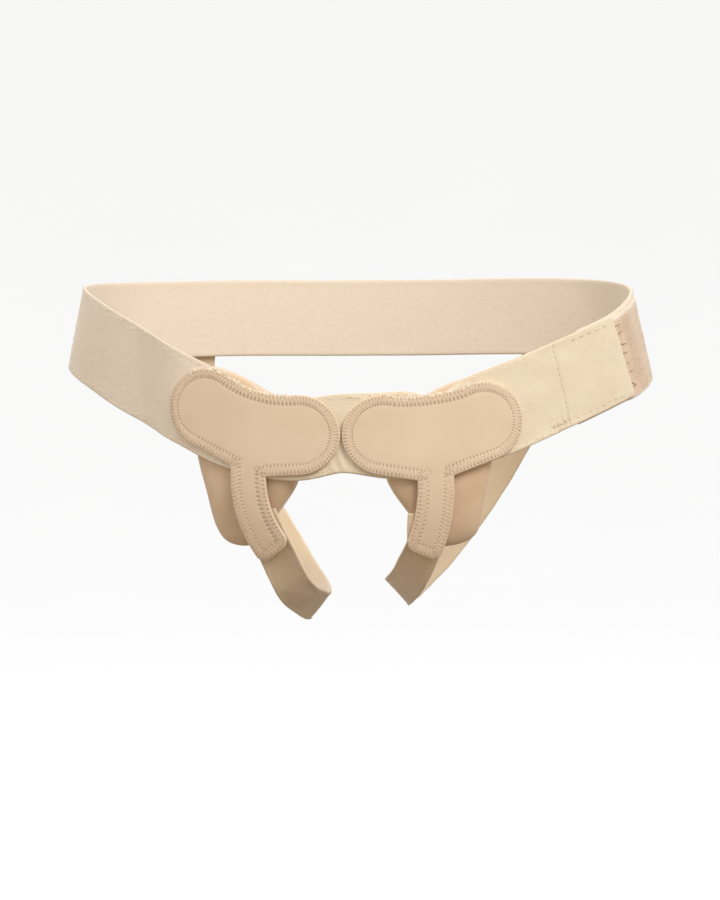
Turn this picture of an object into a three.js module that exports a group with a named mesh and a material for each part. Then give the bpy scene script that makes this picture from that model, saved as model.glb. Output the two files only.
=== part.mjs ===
// Hernia belt, millimetres, +Z up, front towards -Y, the wearer's left towards +X.
// The origin is the middle of the wearer's hips, level with the middle of the belt's front.
// Every soft piece is cut flat, in arc along the hips and height, and then wrapped round the hips.
import * as THREE from 'three';
import { mergeVertices } from 'three/addons/utils/BufferGeometryUtils.js';
import { TessellateModifier } from 'three/addons/modifiers/TessellateModifier.js';

const { lerp, smoothstep, degToRad } = THREE.MathUtils;

// Hips that the belt is worn on: an oval of four arcs at each height.
const HIP_HALF_WIDTH = 166;
const HIP_HALF_DEPTH = 110;
const HIP_FRONT_RADIUS = 212;
const HIP_FLARE = 0.19; // half width gained for each millimetre down the sides
const SIDE_HEIGHT = 63; // height at which HIP_HALF_WIDTH is measured
const TUCK_TOP = -15; // below this height the belly turns in towards the legs
const TUCK_SPAN = 60;
const TUCK_DEPTH = 15;
const GIRTH_BLEND = [150, 300]; // from here to there, an arc along the hips becomes a share of the girth

// Walls and the clearance between pieces that lie on each other.
const GAP = 0.4;
const BAND_WALL = 2;
const TAB_WALL = 1.8;
const PATCH_WALL = 2;
const STRAP_WALL = 1.8;
const STRAP_TAB_WALL = 1.5;

// Waist band: a napped strip round the back and a woven strip on the wearer's left front.
const BAND_WIDTH = 50;
const SIDE_RISE = 60; // rise of the band's middle line from the front to the wearer's left side
const JOIN_ARC = -45; // the two strips meet here, under the right patch
const WAIST_BAND_END = 150;
const FRONT_BAND_END = 173;
const BAND_STEP = 6;
const BAND_ROWS = 4;

// Closure tab, on the waist band's end and under the front band's end.
const TAB_START = 133;
const TAB_END = 208;
const TAB_DROP = 2.6; // how far the tab sits below the band's middle line
const TAB_WIDTH = 49;

// Groin pads.
const PAD_WIDTH = 65;
const PAD_HEIGHT = 103;
const PAD_THICKNESS = 9;
const PAD_EDGE = 3.5;
const PAD_ROUND = 12; // width of the rounded margin
const PAD_ARC = 55; // centre of a pad
const PAD_DROP = 12;
const PAD_MARGIN = 4; // the band stays on the pad's level this far past its edge
const PAD_FALL = 40; // and then comes down to the hip over this length

// Patches: two round lobes on a slanting middle line, with a tongue below.
const LOBE_RADIUS = 22.3;
const LOBE_SPACING = 55.5;
const LOBE_DROP = 1.5;
const PATCH_APART = 0.8;
const SADDLE_ANGLE = degToRad(20);
const TONGUE_WIDTH = 20;
const TONGUE_ARC = 51;
const TONGUE_ROOT_DROP = 5; // corners of the tongue's root lie this far below the lobes' tangent line
const TONGUE_BEND_HEIGHT = -43;
const TONGUE_END_HEIGHT = -60.5;
const TONGUE_BOW = 1;
const TONGUE_CORNER = 5.5;

// Leg straps and their fastening tabs on the back of the band.
const STRAP_WIDTH = 22;
const STRAP_LAP = 16.5; // length that is sewn under the tongue
const STRAP_INSET = 5; // the sewn end lies this far inwards of the tongue's root
const STRAP_SINK = 0.75; // share of the pad's crown that the strap still lies on at the tongue's end
const STRAP_REAR_ARC = 330;
const STRAP_END_RISE = 12; // the strap's end above the band's middle line
const STRAP_LAND = 6; // the strap comes down to the band's level this far below its edge
const STRAP_TAB_WIDTH = 26;
const STRAP_TAB_MARGIN = 5; // the tab sticks out past the strap's end
const CROTCH_DROP = 100;
const SHIFT_REACH = 0.9; // the shift fades out between these shares of the depth, front and back
const STRAP_STEPS = 46;
const STRAP_ROWS = 2;
const STRAP_TAB_STEPS = [3, 4];

const FLAT_STEP = 8; // longest edge inside a flat cut piece
const FLAT_ROUNDS = 8; // how often its edges may be halved
const LOBE_STEPS = [18, 14]; // points round the inner and the outer lobe
const SADDLE_STEPS = 5;
const TONGUE_STOPS = [0.15, 0.3, 0.45, 0.6, 0.75, 0.9]; // shares of its length with a point on each side
const CORNER_TURNS = [0, 0.25, 0.5].map((share) => share * Math.PI);
const PAD_POINTS = 40;
const WELD = 1e-4; // corners this close are one

// Route of the band: arcs as shares of half the girth, the wearer's left positive, heights of the middle line
// as shares of SIDE_RISE and widths as shares of BAND_WIDTH.
const ROUTE = [
  { arc: -1.0, height: 1.2, width: 0.94 },
  { arc: -0.76, height: 1.18, width: 0.94 },
  { arc: -0.494, height: 1.06, width: 0.97 },
  { arc: -0.41, height: 0.93, width: 1.0 },
  { arc: -0.31, height: 0.62, width: 1.02 },
  { arc: -0.253, height: 0.445, width: 1.0 },
  { arc: -0.195, height: 0.26, width: 0.98 },
  { arc: -0.14, height: 0.06, width: 0.95 },
  { arc: -0.064, height: -0.07, width: 0.91 },
  { arc: 0.0, height: -0.01, width: 0.885 },
  { arc: 0.071, height: -0.025, width: 0.98 },
  { arc: 0.143, height: 0.055, width: 1.0 },
  { arc: 0.269, height: 0.38, width: 1.0 },
  { arc: 0.379, height: 0.68, width: 1.0 },
  { arc: 0.499, height: 1.0, width: 0.97 },
  { arc: 0.69, height: 1.18, width: 0.94 },
  { arc: 1.0, height: 1.2, width: 0.94 },
];

// Outline of a pad from its centre: shares of its width and of its height.
const PAD_OUTLINE = [
  { out: 0.485, up: 0.04 },
  { out: 0.385, up: -0.21 },
  { out: 0.29, up: -0.41 },
  { out: 0.19, up: -0.485 },
  { out: -0.01, up: -0.505 },
  { out: -0.14, up: -0.455 },
  { out: -0.26, up: -0.345 },
  { out: -0.46, up: -0.15 },
  { out: -0.49, up: 0.07 },
  { out: -0.38, up: 0.25 },
  { out: -0.09, up: 0.39 },
  { out: 0.19, up: 0.475 },
  { out: 0.38, up: 0.49 },
  { out: 0.475, up: 0.33 },
];

// Hidden stretch of a leg strap, from the tongue's end to the band's back: places as shares of
// HIP_HALF_WIDTH, HIP_HALF_DEPTH and CROTCH_DROP, and the way that its outer face looks.
const LEG_ROUTE = [
  { out: 0.225, back: -0.78, up: -0.82, faceOut: -0.3, faceBack: -0.75, faceUp: -0.6 },
  { out: 0.175, back: -0.42, up: -0.91, faceOut: -0.6, faceBack: -0.35, faceUp: -0.72 },
  { out: 0.158, back: 0.0, up: -0.93, faceOut: -0.8, faceBack: 0.0, faceUp: -0.6 },
  { out: 0.185, back: 0.4, up: -0.88, faceOut: -0.65, faceBack: 0.42, faceUp: -0.63 },
  { out: 0.28, back: 0.76, up: -0.7, faceOut: -0.3, faceBack: 0.82, faceUp: -0.5 },
  { out: 0.41, back: 0.97, up: -0.4, faceOut: 0.0, faceBack: 0.97, faceUp: -0.25 },
  { out: 0.535, back: 0.98, up: -0.06, faceOut: 0.25, faceBack: 0.96, faceUp: 0.05 },
  { out: 0.61, back: 0.87, up: 0.2, faceOut: 0.42, faceBack: 0.88, faceUp: 0.2 },
];

// What differs between the two sides as worn: the way of the arc, the patch's tilt and saddle, how far the
// tongue leans towards the middle, how tall the pad's upper half is, and how far the leg strap shifts out in
// front and sinks at the crotch.
const SIDES = [
  { name: 'right', way: -1, tilt: degToRad(16), saddle: 5, lean: 11.5, padTop: 0.97, shift: -7, sink: 10 },
  { name: 'left', way: 1, tilt: degToRad(7.7), saddle: 3.5, lean: 6, padTop: 0.86, shift: 0, sink: 0 },
];

const cloth = (color, roughness) => new THREE.MeshStandardMaterial({ color, roughness, metalness: 0 });
const nappedElastic = cloth(0xded0b8, 0.95);
const wovenElastic = cloth(0xeadcc0, 0.85);
const foamLaminate = cloth(0xe0c6a8, 0.7);
const padFoam = cloth(0xcda885, 0.85);
const strapElastic = cloth(0xd9c29e, 0.9);
const tabFabric = cloth(0xdcbba2, 0.85);

// Oval of the hips at one height: the front and back arcs keep their radius, the side arcs make the width.
function hipSection(height) {
  const halfWidth = HIP_HALF_WIDTH - HIP_FLARE * (Math.max(height, 0) - SIDE_HEIGHT);
  const centreBack = HIP_FRONT_RADIUS - HIP_HALF_DEPTH; // front arc's centre, behind the middle
  const frontAngle = Math.PI / 2 - 2 * Math.atan((HIP_FRONT_RADIUS - halfWidth) / centreBack);
  const centreApart = centreBack / Math.cos(frontAngle);
  const sideRadius = HIP_FRONT_RADIUS - centreApart;
  const frontArc = HIP_FRONT_RADIUS * frontAngle;
  const sideArc = sideRadius * (Math.PI - 2 * frontAngle);
  const halfGirth = 2 * frontArc + sideArc;
  return { centreBack, frontAngle, centreApart, sideRadius, frontArc, sideArc, halfGirth };
}

const HALF_GIRTH = hipSection(SIDE_HEIGHT).halfGirth;

// Place on the skin and outward direction there, at an arc from the front middle and a height.
function hipSpot(arc, height) {
  let turned = arc;
  if (turned < -HALF_GIRTH) turned += 2 * HALF_GIRTH;
  if (turned > HALF_GIRTH) turned -= 2 * HALF_GIRTH;
  const way = Math.sign(turned) || 1;
  const section = hipSection(height);
  const share = smoothstep(Math.abs(turned), ...GIRTH_BLEND);
  const along = Math.abs(turned) * lerp(1, section.halfGirth / HALF_GIRTH, share);
  const rest = along - section.frontArc;
  const atSide = rest > 0 && rest < section.sideArc;
  const atBack = rest >= section.sideArc;
  let angle = along / HIP_FRONT_RADIUS;
  if (atSide) angle = section.frontAngle + rest / section.sideRadius;
  if (atBack) angle = Math.PI - section.frontAngle + (rest - section.sideArc) / HIP_FRONT_RADIUS;
  const radius = atSide ? section.sideRadius : HIP_FRONT_RADIUS;
  const centreOut = atSide ? section.centreApart * Math.sin(section.frontAngle) : 0;
  let centreBack = 0;
  if (!atSide) centreBack = atBack ? -section.centreBack : section.centreBack;
  const low = Math.max(0, (TUCK_TOP - height) / TUCK_SPAN);
  const slopeSide = height > 0 ? -HIP_FLARE : 0;
  const slopeFront = (2 * TUCK_DEPTH * low) / TUCK_SPAN;
  const slope = slopeSide * Math.sin(angle) ** 2 + slopeFront * Math.cos(angle) ** 2;
  const out = new THREE.Vector3(way * Math.sin(angle), -Math.cos(angle), -slope).normalize();
  const skin = new THREE.Vector3(
    way * (centreOut + radius * Math.sin(angle)),
    centreBack - radius * Math.cos(angle) + TUCK_DEPTH * low ** 2,
    height,
  );
  return { skin, out };
}

function hipPoint(arc, height, lift) {
  const { skin, out } = hipSpot(arc, height);
  return skin.addScaledVector(out, lift);
}

// Smooth curve through a table, by its first column.
function tableValue(table, column, at) {
  const last = table.length - 1;
  const slopeAt = (i) => {
    const before = table[Math.max(i - 1, 0)];
    const after = table[Math.min(i + 1, last)];
    return (after[column] - before[column]) / (after.arc - before.arc);
  };
  let i = 0;
  while (i < last - 1 && at > table[i + 1].arc) i += 1;
  const [a, b] = [table[i], table[i + 1]];
  const span = b.arc - a.arc;
  const t = (at - a.arc) / span;
  const start = (1 + 2 * t) * (1 - t) ** 2 * a[column] + t * (1 - t) ** 2 * span * slopeAt(i);
  return start + t * t * (3 - 2 * t) * b[column] + t * t * (t - 1) * span * slopeAt(i + 1);
}

// Middle line of the band: its height, its width and the direction across it, in the flat.
function bandLine(arc) {
  const wrapped = arc < -HALF_GIRTH ? arc + 2 * HALF_GIRTH : arc;
  const share = wrapped / HALF_GIRTH;
  const heightAt = (s) => SIDE_RISE * tableValue(ROUTE, 'height', THREE.MathUtils.clamp(s, -1, 1));
  const step = 1 / HALF_GIRTH;
  const rise = (heightAt(share + step) - heightAt(share - step)) / 2;
  return {
    height: heightAt(share),
    width: BAND_WIDTH * tableValue(ROUTE, 'width', share),
    across: new THREE.Vector2(-rise, 1).normalize(),
  };
}

// Lift of the strips' inner faces: over the pads in front, and at rest beside them.
const PAD_LEVEL = PAD_THICKNESS + GAP;
const TAB_LIFT = BAND_WALL + GAP;
const CLOSURE_LIFT = TAB_LIFT + TAB_WALL + GAP;
const padEdgeArc = PAD_ARC + PAD_WIDTH / 2 + PAD_MARGIN;

function bandLift(arc, restLift) {
  const fall = smoothstep(Math.abs(arc), padEdgeArc, padEdgeArc + PAD_FALL);
  return lerp(PAD_LEVEL, restLift, fall);
}

const restLiftAt = (arc) => (arc > 0 ? CLOSURE_LIFT : 0);

// A merged copy of a geometry whose points are moved by place(x, y, z).
function shaped(geometry, place) {
  const bare = geometry.clone();
  bare.deleteAttribute('normal');
  bare.deleteAttribute('uv');
  const merged = mergeVertices(bare, WELD);
  const position = merged.getAttribute('position');
  for (let i = 0; i < position.count; i += 1) {
    const spot = place(position.getX(i), position.getY(i), position.getZ(i));
    position.setXYZ(i, spot.x, spot.y, spot.z);
  }
  merged.computeVertexNormals();
  return merged;
}

// A strip along the band's route, between two arcs.
function bandStrip({ from, to, wall, lift, width = null, drop = 0 }) {
  const steps = Math.ceil((to - from) / BAND_STEP);
  const box = new THREE.BoxGeometry(1, 1, 1, steps, BAND_ROWS, 1);
  return shaped(box, (x, y, z) => {
    const arc = lerp(from, to, x + 0.5);
    const line = bandLine(arc);
    const spot = line.across.clone().multiplyScalar(y * (width ?? line.width));
    const place = new THREE.Vector2(arc, line.height - drop).add(spot);
    return hipPoint(place.x, place.y, lift(place.x) + wall * (z + 0.5));
  });
}

// A piece cut flat to an outline, its inside meshed finely enough to follow the hips.
function cutPiece(outline, place) {
  const flat = new THREE.ExtrudeGeometry(new THREE.Shape(outline), { depth: 1, bevelEnabled: false });
  const fine = new TessellateModifier(FLAT_STEP, FLAT_ROUNDS).modify(flat);
  return shaped(fine, place);
}

function padOutline({ way, padTop }) {
  const points = PAD_OUTLINE.map(({ out, up }) => {
    const height = up * PAD_HEIGHT * (up > 0 ? padTop : 1) - PAD_DROP;
    return new THREE.Vector3(way * (PAD_ARC + out * PAD_WIDTH), height, 0);
  });
  const curve = new THREE.CatmullRomCurve3(points, true, 'centripetal');
  return curve.getSpacedPoints(PAD_POINTS).slice(1).map(({ x, y }) => new THREE.Vector2(x, y));
}

function distanceToOutline(outline, x, y) {
  const spot = new THREE.Vector3(x, y, 0);
  const nearest = new THREE.Vector3();
  const edge = new THREE.Line3();
  const distances = outline.map((corner, i) => {
    const next = outline[(i + 1) % outline.length];
    edge.start.set(corner.x, corner.y, 0);
    edge.end.set(next.x, next.y, 0);
    return edge.closestPointToPoint(spot, true, nearest).distanceTo(spot);
  });
  return Math.min(...distances);
}

// A pad lies on the skin, and its outer face rounds down to a thinner edge.
function pad(side) {
  const outline = padOutline(side);
  return cutPiece(outline, (x, y, z) => {
    const margin = Math.min(distanceToOutline(outline, x, y) / PAD_ROUND, 1);
    const crown = Math.sqrt(1 - (1 - margin) ** 2);
    return hipPoint(x, y, z * lerp(PAD_EDGE, PAD_THICKNESS, crown));
  });
}

// Outline of a patch in the flat, for the wearer's left side: the inner lobe, the saddle, the outer lobe and
// the tongue, whose root corners lie on tangents to the lobes.
function patchOutline({ tilt, saddle, lean }) {
  const inner = new THREE.Vector2(PATCH_APART / 2 + LOBE_RADIUS, -LOBE_DROP);
  const origin = new THREE.Vector2();
  const onBean = (along, across) => new THREE.Vector2(along, across).rotateAround(origin, tilt).add(inner);
  const onLobe = (centre, angle) =>
    onBean(centre + LOBE_RADIUS * Math.cos(angle), LOBE_RADIUS * Math.sin(angle));
  const lobeRun = (centre, from, to, steps) =>
    Array.from({ length: steps + 1 }, (_, i) => onLobe(centre, lerp(from, to, i / steps)));

  const rootAcross = -(LOBE_RADIUS + TONGUE_ROOT_DROP);
  const alongAt = (arc) => (arc - inner.x + rootAcross * Math.sin(tilt)) / Math.cos(tilt);
  const innerCorner = alongAt(TONGUE_ARC - TONGUE_WIDTH / 2);
  const outerCorner = alongAt(TONGUE_ARC + TONGUE_WIDTH / 2);
  const tangentAt = (along, way) =>
    Math.atan2(rootAcross, along) + way * Math.acos(LOBE_RADIUS / Math.hypot(along, rootAcross));
  const innerTangent = tangentAt(innerCorner, -1);
  const outerTangent = tangentAt(outerCorner - LOBE_SPACING, 1);

  const upright = Math.PI / 2;
  const saddleLeft = saddle - LOBE_RADIUS * (1 - Math.cos(SADDLE_ANGLE));
  const reach = saddleLeft / (0.75 * Math.sin(SADDLE_ANGLE)); // a cubic's middle lies at 3/4 of its handles
  const saddleStart = onLobe(0, upright - SADDLE_ANGLE);
  const saddleEnd = onLobe(LOBE_SPACING, upright + SADDLE_ANGLE);
  const along = (angle) => new THREE.Vector2(reach, 0).rotateAround(origin, tilt + angle);
  const saddleCurve = new THREE.CubicBezierCurve(
    saddleStart,
    saddleStart.clone().add(along(-SADDLE_ANGLE)),
    saddleEnd.clone().sub(along(SADDLE_ANGLE)),
    saddleEnd,
  );

  const root = onBean((innerCorner + outerCorner) / 2, rootAcross);
  const spine = new THREE.QuadraticBezierCurve(
    root,
    new THREE.Vector2(TONGUE_ARC + TONGUE_BOW, TONGUE_BEND_HEIGHT),
    new THREE.Vector2(TONGUE_ARC - lean, TONGUE_END_HEIGHT),
  );
  const tonguePoint = (t, out, past = 0) => {
    const down = spine.getTangent(t);
    const across = new THREE.Vector2(-down.y, down.x);
    return spine.getPoint(t).addScaledVector(across, out).addScaledVector(down, past);
  };
  const sideRun = (ts, out) => ts.map((t) => tonguePoint(t, out));
  const straight = TONGUE_WIDTH / 2 - TONGUE_CORNER;
  const cornerRun = (angles, way) =>
    angles.map((a) =>
      tonguePoint(1, way * (straight + TONGUE_CORNER * Math.cos(a)), TONGUE_CORNER * Math.sin(a)),
    );

  return [
    onBean(innerCorner, rootAcross),
    ...lobeRun(0, innerTangent + 2 * Math.PI, upright - SADDLE_ANGLE, LOBE_STEPS[0]),
    ...saddleCurve.getPoints(SADDLE_STEPS).slice(1, -1),
    ...lobeRun(LOBE_SPACING, upright + SADDLE_ANGLE, outerTangent, LOBE_STEPS[1]),
    onBean(outerCorner, rootAcross),
    ...sideRun(TONGUE_STOPS, TONGUE_WIDTH / 2),
    ...cornerRun(CORNER_TURNS, 1),
    ...cornerRun([...CORNER_TURNS].reverse(), -1),
    ...sideRun([...TONGUE_STOPS].reverse(), -TONGUE_WIDTH / 2),
  ];
}

const PATCH_LIFT = Math.max(BAND_WALL, STRAP_WALL) + GAP;

function patch(side) {
  const outline = patchOutline(side).map(({ x, y }) => new THREE.Vector2(side.way * x, y));
  return cutPiece(outline, (x, y, z) => {
    const lift = bandLift(x, restLiftAt(x)) + PATCH_LIFT;
    return hipPoint(x, y, lift + PATCH_WALL * z);
  });
}

// Middle line of a leg strap, with the direction that its outer face looks: sewn under the tongue, through
// the hidden stretch, and up over the band's back.
function strapStations(side) {
  const onHips = (arc, height, lift) => {
    const { skin, out } = hipSpot(side.way * arc, height);
    return { place: skin.addScaledVector(out, lift), face: out };
  };
  const endArc = TONGUE_ARC - side.lean;
  const startArc = TONGUE_ARC - STRAP_INSET;
  const startHeight = TONGUE_END_HEIGHT + STRAP_LAP;
  const front = [
    onHips(startArc, startHeight, PAD_LEVEL),
    onHips(lerp(startArc, endArc, 0.5), lerp(startHeight, TONGUE_END_HEIGHT, 0.5), PAD_LEVEL),
    onHips(endArc, TONGUE_END_HEIGHT, lerp(PAD_EDGE, PAD_THICKNESS, STRAP_SINK) + GAP),
  ];
  const hidden = LEG_ROUTE.map((row) => {
    const out = row.out * HIP_HALF_WIDTH + side.shift * smoothstep(-row.back, -SHIFT_REACH, SHIFT_REACH);
    const height = row.up * CROTCH_DROP - side.sink * Math.max(0, -row.up) ** 2;
    return {
      place: new THREE.Vector3(side.way * out, row.back * HIP_HALF_DEPTH, height),
      face: new THREE.Vector3(side.way * row.faceOut, row.faceBack, row.faceUp).normalize(),
    };
  });
  const line = bandLine(side.way * STRAP_REAR_ARC);
  const rearLift = BAND_WALL + GAP + STRAP_TAB_WALL + GAP;
  const rear = [
    onHips(STRAP_REAR_ARC, line.height - line.width / 2 - STRAP_LAND, rearLift + GAP),
    onHips(STRAP_REAR_ARC, line.height - line.width / 2 + STRAP_LAND, rearLift),
    onHips(STRAP_REAR_ARC, line.height, rearLift),
    onHips(STRAP_REAR_ARC, line.height + STRAP_END_RISE, rearLift),
  ];
  return [...front, ...hidden, ...rear];
}

function legStrap(side) {
  const stations = strapStations(side);
  const middle = new THREE.CatmullRomCurve3(stations.map(({ place }) => place), false, 'centripetal');
  const faces = new THREE.CatmullRomCurve3(stations.map(({ face }) => face), false, 'catmullrom');
  const box = new THREE.BoxGeometry(1, 1, 1, STRAP_STEPS, STRAP_ROWS, 1);
  return shaped(box, (x, y, z) => {
    const t = x + 0.5;
    const along = middle.getTangent(t);
    const face = faces.getPoint(t);
    const across = face.clone().cross(along).normalize();
    const outward = along.clone().cross(across);
    return middle
      .getPoint(t)
      .addScaledVector(across, y * STRAP_WIDTH)
      .addScaledVector(outward, STRAP_WALL * (z + 0.5));
  });
}

// The fastening tab lies on the band's back, under the leg strap's end.
function strapTab(side) {
  const line = bandLine(side.way * STRAP_REAR_ARC);
  const top = line.height + STRAP_END_RISE + STRAP_TAB_MARGIN;
  const bottom = line.height - line.width / 2 + STRAP_TAB_MARGIN;
  const box = new THREE.BoxGeometry(1, 1, 1, ...STRAP_TAB_STEPS, 1);
  return shaped(box, (x, y, z) => {
    const arc = side.way * STRAP_REAR_ARC + x * STRAP_TAB_WIDTH;
    return hipPoint(arc, lerp(bottom, top, y + 0.5), BAND_WALL + GAP + STRAP_TAB_WALL * (z + 0.5));
  });
}

function named(name, geometry, material) {
  const mesh = new THREE.Mesh(geometry, material.clone());
  mesh.name = name;
  return mesh;
}

const group = new THREE.Group();
group.add(
  named(
    'waist_band',
    bandStrip({
      from: WAIST_BAND_END - 2 * HALF_GIRTH,
      to: JOIN_ARC - GAP / 2,
      wall: BAND_WALL,
      lift: (arc) => bandLift(arc, 0),
    }),
    nappedElastic,
  ),
  named(
    'front_band',
    bandStrip({
      from: JOIN_ARC + GAP / 2,
      to: FRONT_BAND_END,
      wall: BAND_WALL,
      lift: (arc) => bandLift(arc, restLiftAt(arc)),
    }),
    wovenElastic,
  ),
  named(
    'closure_tab',
    bandStrip({
      from: TAB_START,
      to: TAB_END,
      wall: TAB_WALL,
      lift: () => TAB_LIFT,
      width: TAB_WIDTH,
      drop: TAB_DROP,
    }),
    tabFabric,
  ),
);
for (const side of SIDES) {
  group.add(
    named(`patch_${side.name}`, patch(side), foamLaminate),
    named(`pad_${side.name}`, pad(side), padFoam),
    named(`leg_strap_${side.name}`, legStrap(side), strapElastic),
    named(`strap_tab_${side.name}`, strapTab(side), strapElastic),
  );
}

export default group;
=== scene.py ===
"""Hernia belt as worn: elastic bands, stitched patches, soft pads and leg straps.

Shapes are worked out in millimetres on the same oval hips that the part's source uses. Every soft piece
is cut flat, given its relief there, and wrapped round the hips.
"""
import math
from types import SimpleNamespace

import bmesh
import bpy
import numpy as np
from mathutils.geometry import delaunay_2d_cdt
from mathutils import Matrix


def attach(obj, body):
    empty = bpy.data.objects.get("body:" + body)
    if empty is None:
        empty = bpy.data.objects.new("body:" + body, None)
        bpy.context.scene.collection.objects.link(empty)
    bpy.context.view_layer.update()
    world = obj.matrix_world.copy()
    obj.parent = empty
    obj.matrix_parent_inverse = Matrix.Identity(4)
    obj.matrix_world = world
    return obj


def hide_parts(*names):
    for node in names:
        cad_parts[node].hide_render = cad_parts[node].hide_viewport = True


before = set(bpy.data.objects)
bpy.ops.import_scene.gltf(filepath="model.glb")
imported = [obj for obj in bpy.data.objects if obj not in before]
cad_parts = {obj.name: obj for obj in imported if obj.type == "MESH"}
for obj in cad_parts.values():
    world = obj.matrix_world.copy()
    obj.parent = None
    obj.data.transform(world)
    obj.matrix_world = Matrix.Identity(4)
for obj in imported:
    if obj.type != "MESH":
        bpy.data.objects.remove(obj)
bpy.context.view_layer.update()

# Sizes of the part, as its source has them
HIP_HALF_WIDTH, HIP_HALF_DEPTH, HIP_FRONT_RADIUS = 166, 110, 212
HIP_FLARE, SIDE_HEIGHT = 0.19, 63
TUCK_TOP, TUCK_SPAN, TUCK_DEPTH = -15, 60, 15
GIRTH_BLEND = (150, 300)
GAP = 0.4
BAND_WALL, TAB_WALL, PATCH_WALL, STRAP_WALL, STRAP_TAB_WALL = 2, 1.8, 2, 1.8, 1.5
BAND_WIDTH, SIDE_RISE, JOIN_ARC, WAIST_BAND_END, FRONT_BAND_END = 50, 60, -45, 150, 173
TAB_START, TAB_END, TAB_DROP, TAB_WIDTH = 133, 208, 2.6, 49
PAD_WIDTH, PAD_HEIGHT, PAD_THICKNESS, PAD_EDGE, PAD_ROUND = 65, 103, 9, 3.5, 12
PAD_ARC, PAD_DROP, PAD_MARGIN, PAD_FALL = 55, 12, 4, 40
LOBE_RADIUS, LOBE_SPACING, LOBE_DROP, PATCH_APART = 22.3, 55.5, 1.5, 0.8
SADDLE_ANGLE = math.radians(20)
TONGUE_WIDTH, TONGUE_ARC, TONGUE_ROOT_DROP = 20, 51, 5
TONGUE_BEND_HEIGHT, TONGUE_END_HEIGHT, TONGUE_BOW, TONGUE_CORNER = -43, -60.5, 1, 5.5
STRAP_WIDTH, STRAP_LAP, STRAP_INSET, STRAP_SINK = 22, 16.5, 5, 0.75
STRAP_REAR_ARC, STRAP_END_RISE, STRAP_LAND = 330, 12, 6
STRAP_TAB_WIDTH, STRAP_TAB_MARGIN = 26, 5
CROTCH_DROP, SHIFT_REACH = 100, 0.9

# Band route: arc as a share of half the girth, height as a share of SIDE_RISE, width as one of BAND_WIDTH
ROUTE = np.array([
    (-1.0, 1.2, 0.94), (-0.76, 1.18, 0.94), (-0.494, 1.06, 0.97), (-0.41, 0.93, 1.0), (-0.31, 0.62, 1.02),
    (-0.253, 0.445, 1.0), (-0.195, 0.26, 0.98), (-0.14, 0.06, 0.95), (-0.064, -0.07, 0.91),
    (0.0, -0.01, 0.885), (0.071, -0.025, 0.98), (0.143, 0.055, 1.0), (0.269, 0.38, 1.0),
    (0.379, 0.68, 1.0), (0.499, 1.0, 0.97), (0.69, 1.18, 0.94), (1.0, 1.2, 0.94),
])
# Pad outline from its centre: out as a share of its width, up as one of its height
PAD_OUTLINE = np.array([
    (0.485, 0.04), (0.385, -0.21), (0.29, -0.41), (0.19, -0.485), (-0.01, -0.505), (-0.14, -0.455),
    (-0.26, -0.345), (-0.46, -0.15), (-0.49, 0.07), (-0.38, 0.25), (-0.09, 0.39), (0.19, 0.475),
    (0.38, 0.49), (0.475, 0.33),
])
# Leg strap's way: out, back and up as shares of the hips' sizes, and the way that its outer face looks
LEG_ROUTE = np.array([
    (0.225, -0.78, -0.82, -0.3, -0.75, -0.6), (0.175, -0.42, -0.91, -0.6, -0.35, -0.72),
    (0.158, 0.0, -0.93, -0.8, 0.0, -0.6), (0.185, 0.4, -0.88, -0.65, 0.42, -0.63),
    (0.28, 0.76, -0.7, -0.3, 0.82, -0.5), (0.41, 0.97, -0.4, 0.0, 0.97, -0.25),
    (0.535, 0.98, -0.06, 0.25, 0.96, 0.05), (0.61, 0.87, 0.2, 0.42, 0.88, 0.2),
])
# The two sides. corner pushes a pad's lower outer corner out. dashes are the strengths of the painted shade
# at a tongue's needle holes on its outer and inner side, and long_dashes draws out those of the inner one.
SIDES = [
    SimpleNamespace(name="right", way=-1, tilt=math.radians(16), saddle=5, lean=11.5, pad_top=0.97,
                    shift=-7, sink=10, corner=0, dashes=(0.6, 1.0), long_dashes=1.0),
    SimpleNamespace(name="left", way=1, tilt=math.radians(7.7), saddle=3.5, lean=6, pad_top=0.86,
                    shift=0, sink=0, corner=0.08, dashes=(0.5, 0.7), long_dashes=0.0),
]

# Sewing
STITCH_PITCH = 2.05
OUTER_ROW, INNER_ROW = 0.8, 5.7  # rows of a patch's cover stitch, from its edge
THREAD_RADIUS = 0.1
SEAM_TOP, SEAM_FOOT = (129.6, 24), (125.6, -24)  # straight seam beside the closure: along, across


def lerp(a, b, t):
    return a + (b - a) * t


def smooth(x, low, high):
    t = np.clip((x - low) / (high - low), 0, 1)
    return t * t * (3 - 2 * t)


def bell(x, width):
    return np.exp(-((x / width) ** 2))


def unit(vectors):
    return vectors / np.maximum(np.linalg.norm(vectors, axis=-1, keepdims=True), 1e-12)


def noise(x, y, size, seed):
    """Smooth seeded noise from -1 to 1, with lumps of about that size."""
    period = 128
    lattice = np.random.default_rng(seed).uniform(-1, 1, (period, period))
    u, v = np.asarray(x, float) / size, np.asarray(y, float) / size
    i, j = np.floor(u).astype(int), np.floor(v).astype(int)
    a, b = smooth(u - i, 0, 1), smooth(v - j, 0, 1)

    def at(p, q):
        return lattice[p % period, q % period]

    return lerp(lerp(at(i, j), at(i + 1, j), a), lerp(at(i, j + 1), at(i + 1, j + 1), a), b)


def lumps(x, y, *layers):
    """Noises added up, each one with its height, size and seed."""
    return sum(height * noise(x, y, size, seed) for height, size, seed in layers)


def run_along(line):
    """Distance along a line of each of its points."""
    return np.concatenate([[0], np.linalg.norm(np.diff(line, axis=0), axis=1).cumsum()])


def resample(line, spacing):
    """Even points along an open line, both ends kept."""
    line = np.asarray(line, float)
    run = run_along(line)
    at = np.linspace(0, run[-1], max(2, round(run[-1] / spacing)) + 1)
    return np.stack([np.interp(at, run, line[:, k]) for k in range(line.shape[1])], -1)


def closed(outline):
    return np.vstack([outline, outline[:1]])


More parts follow.
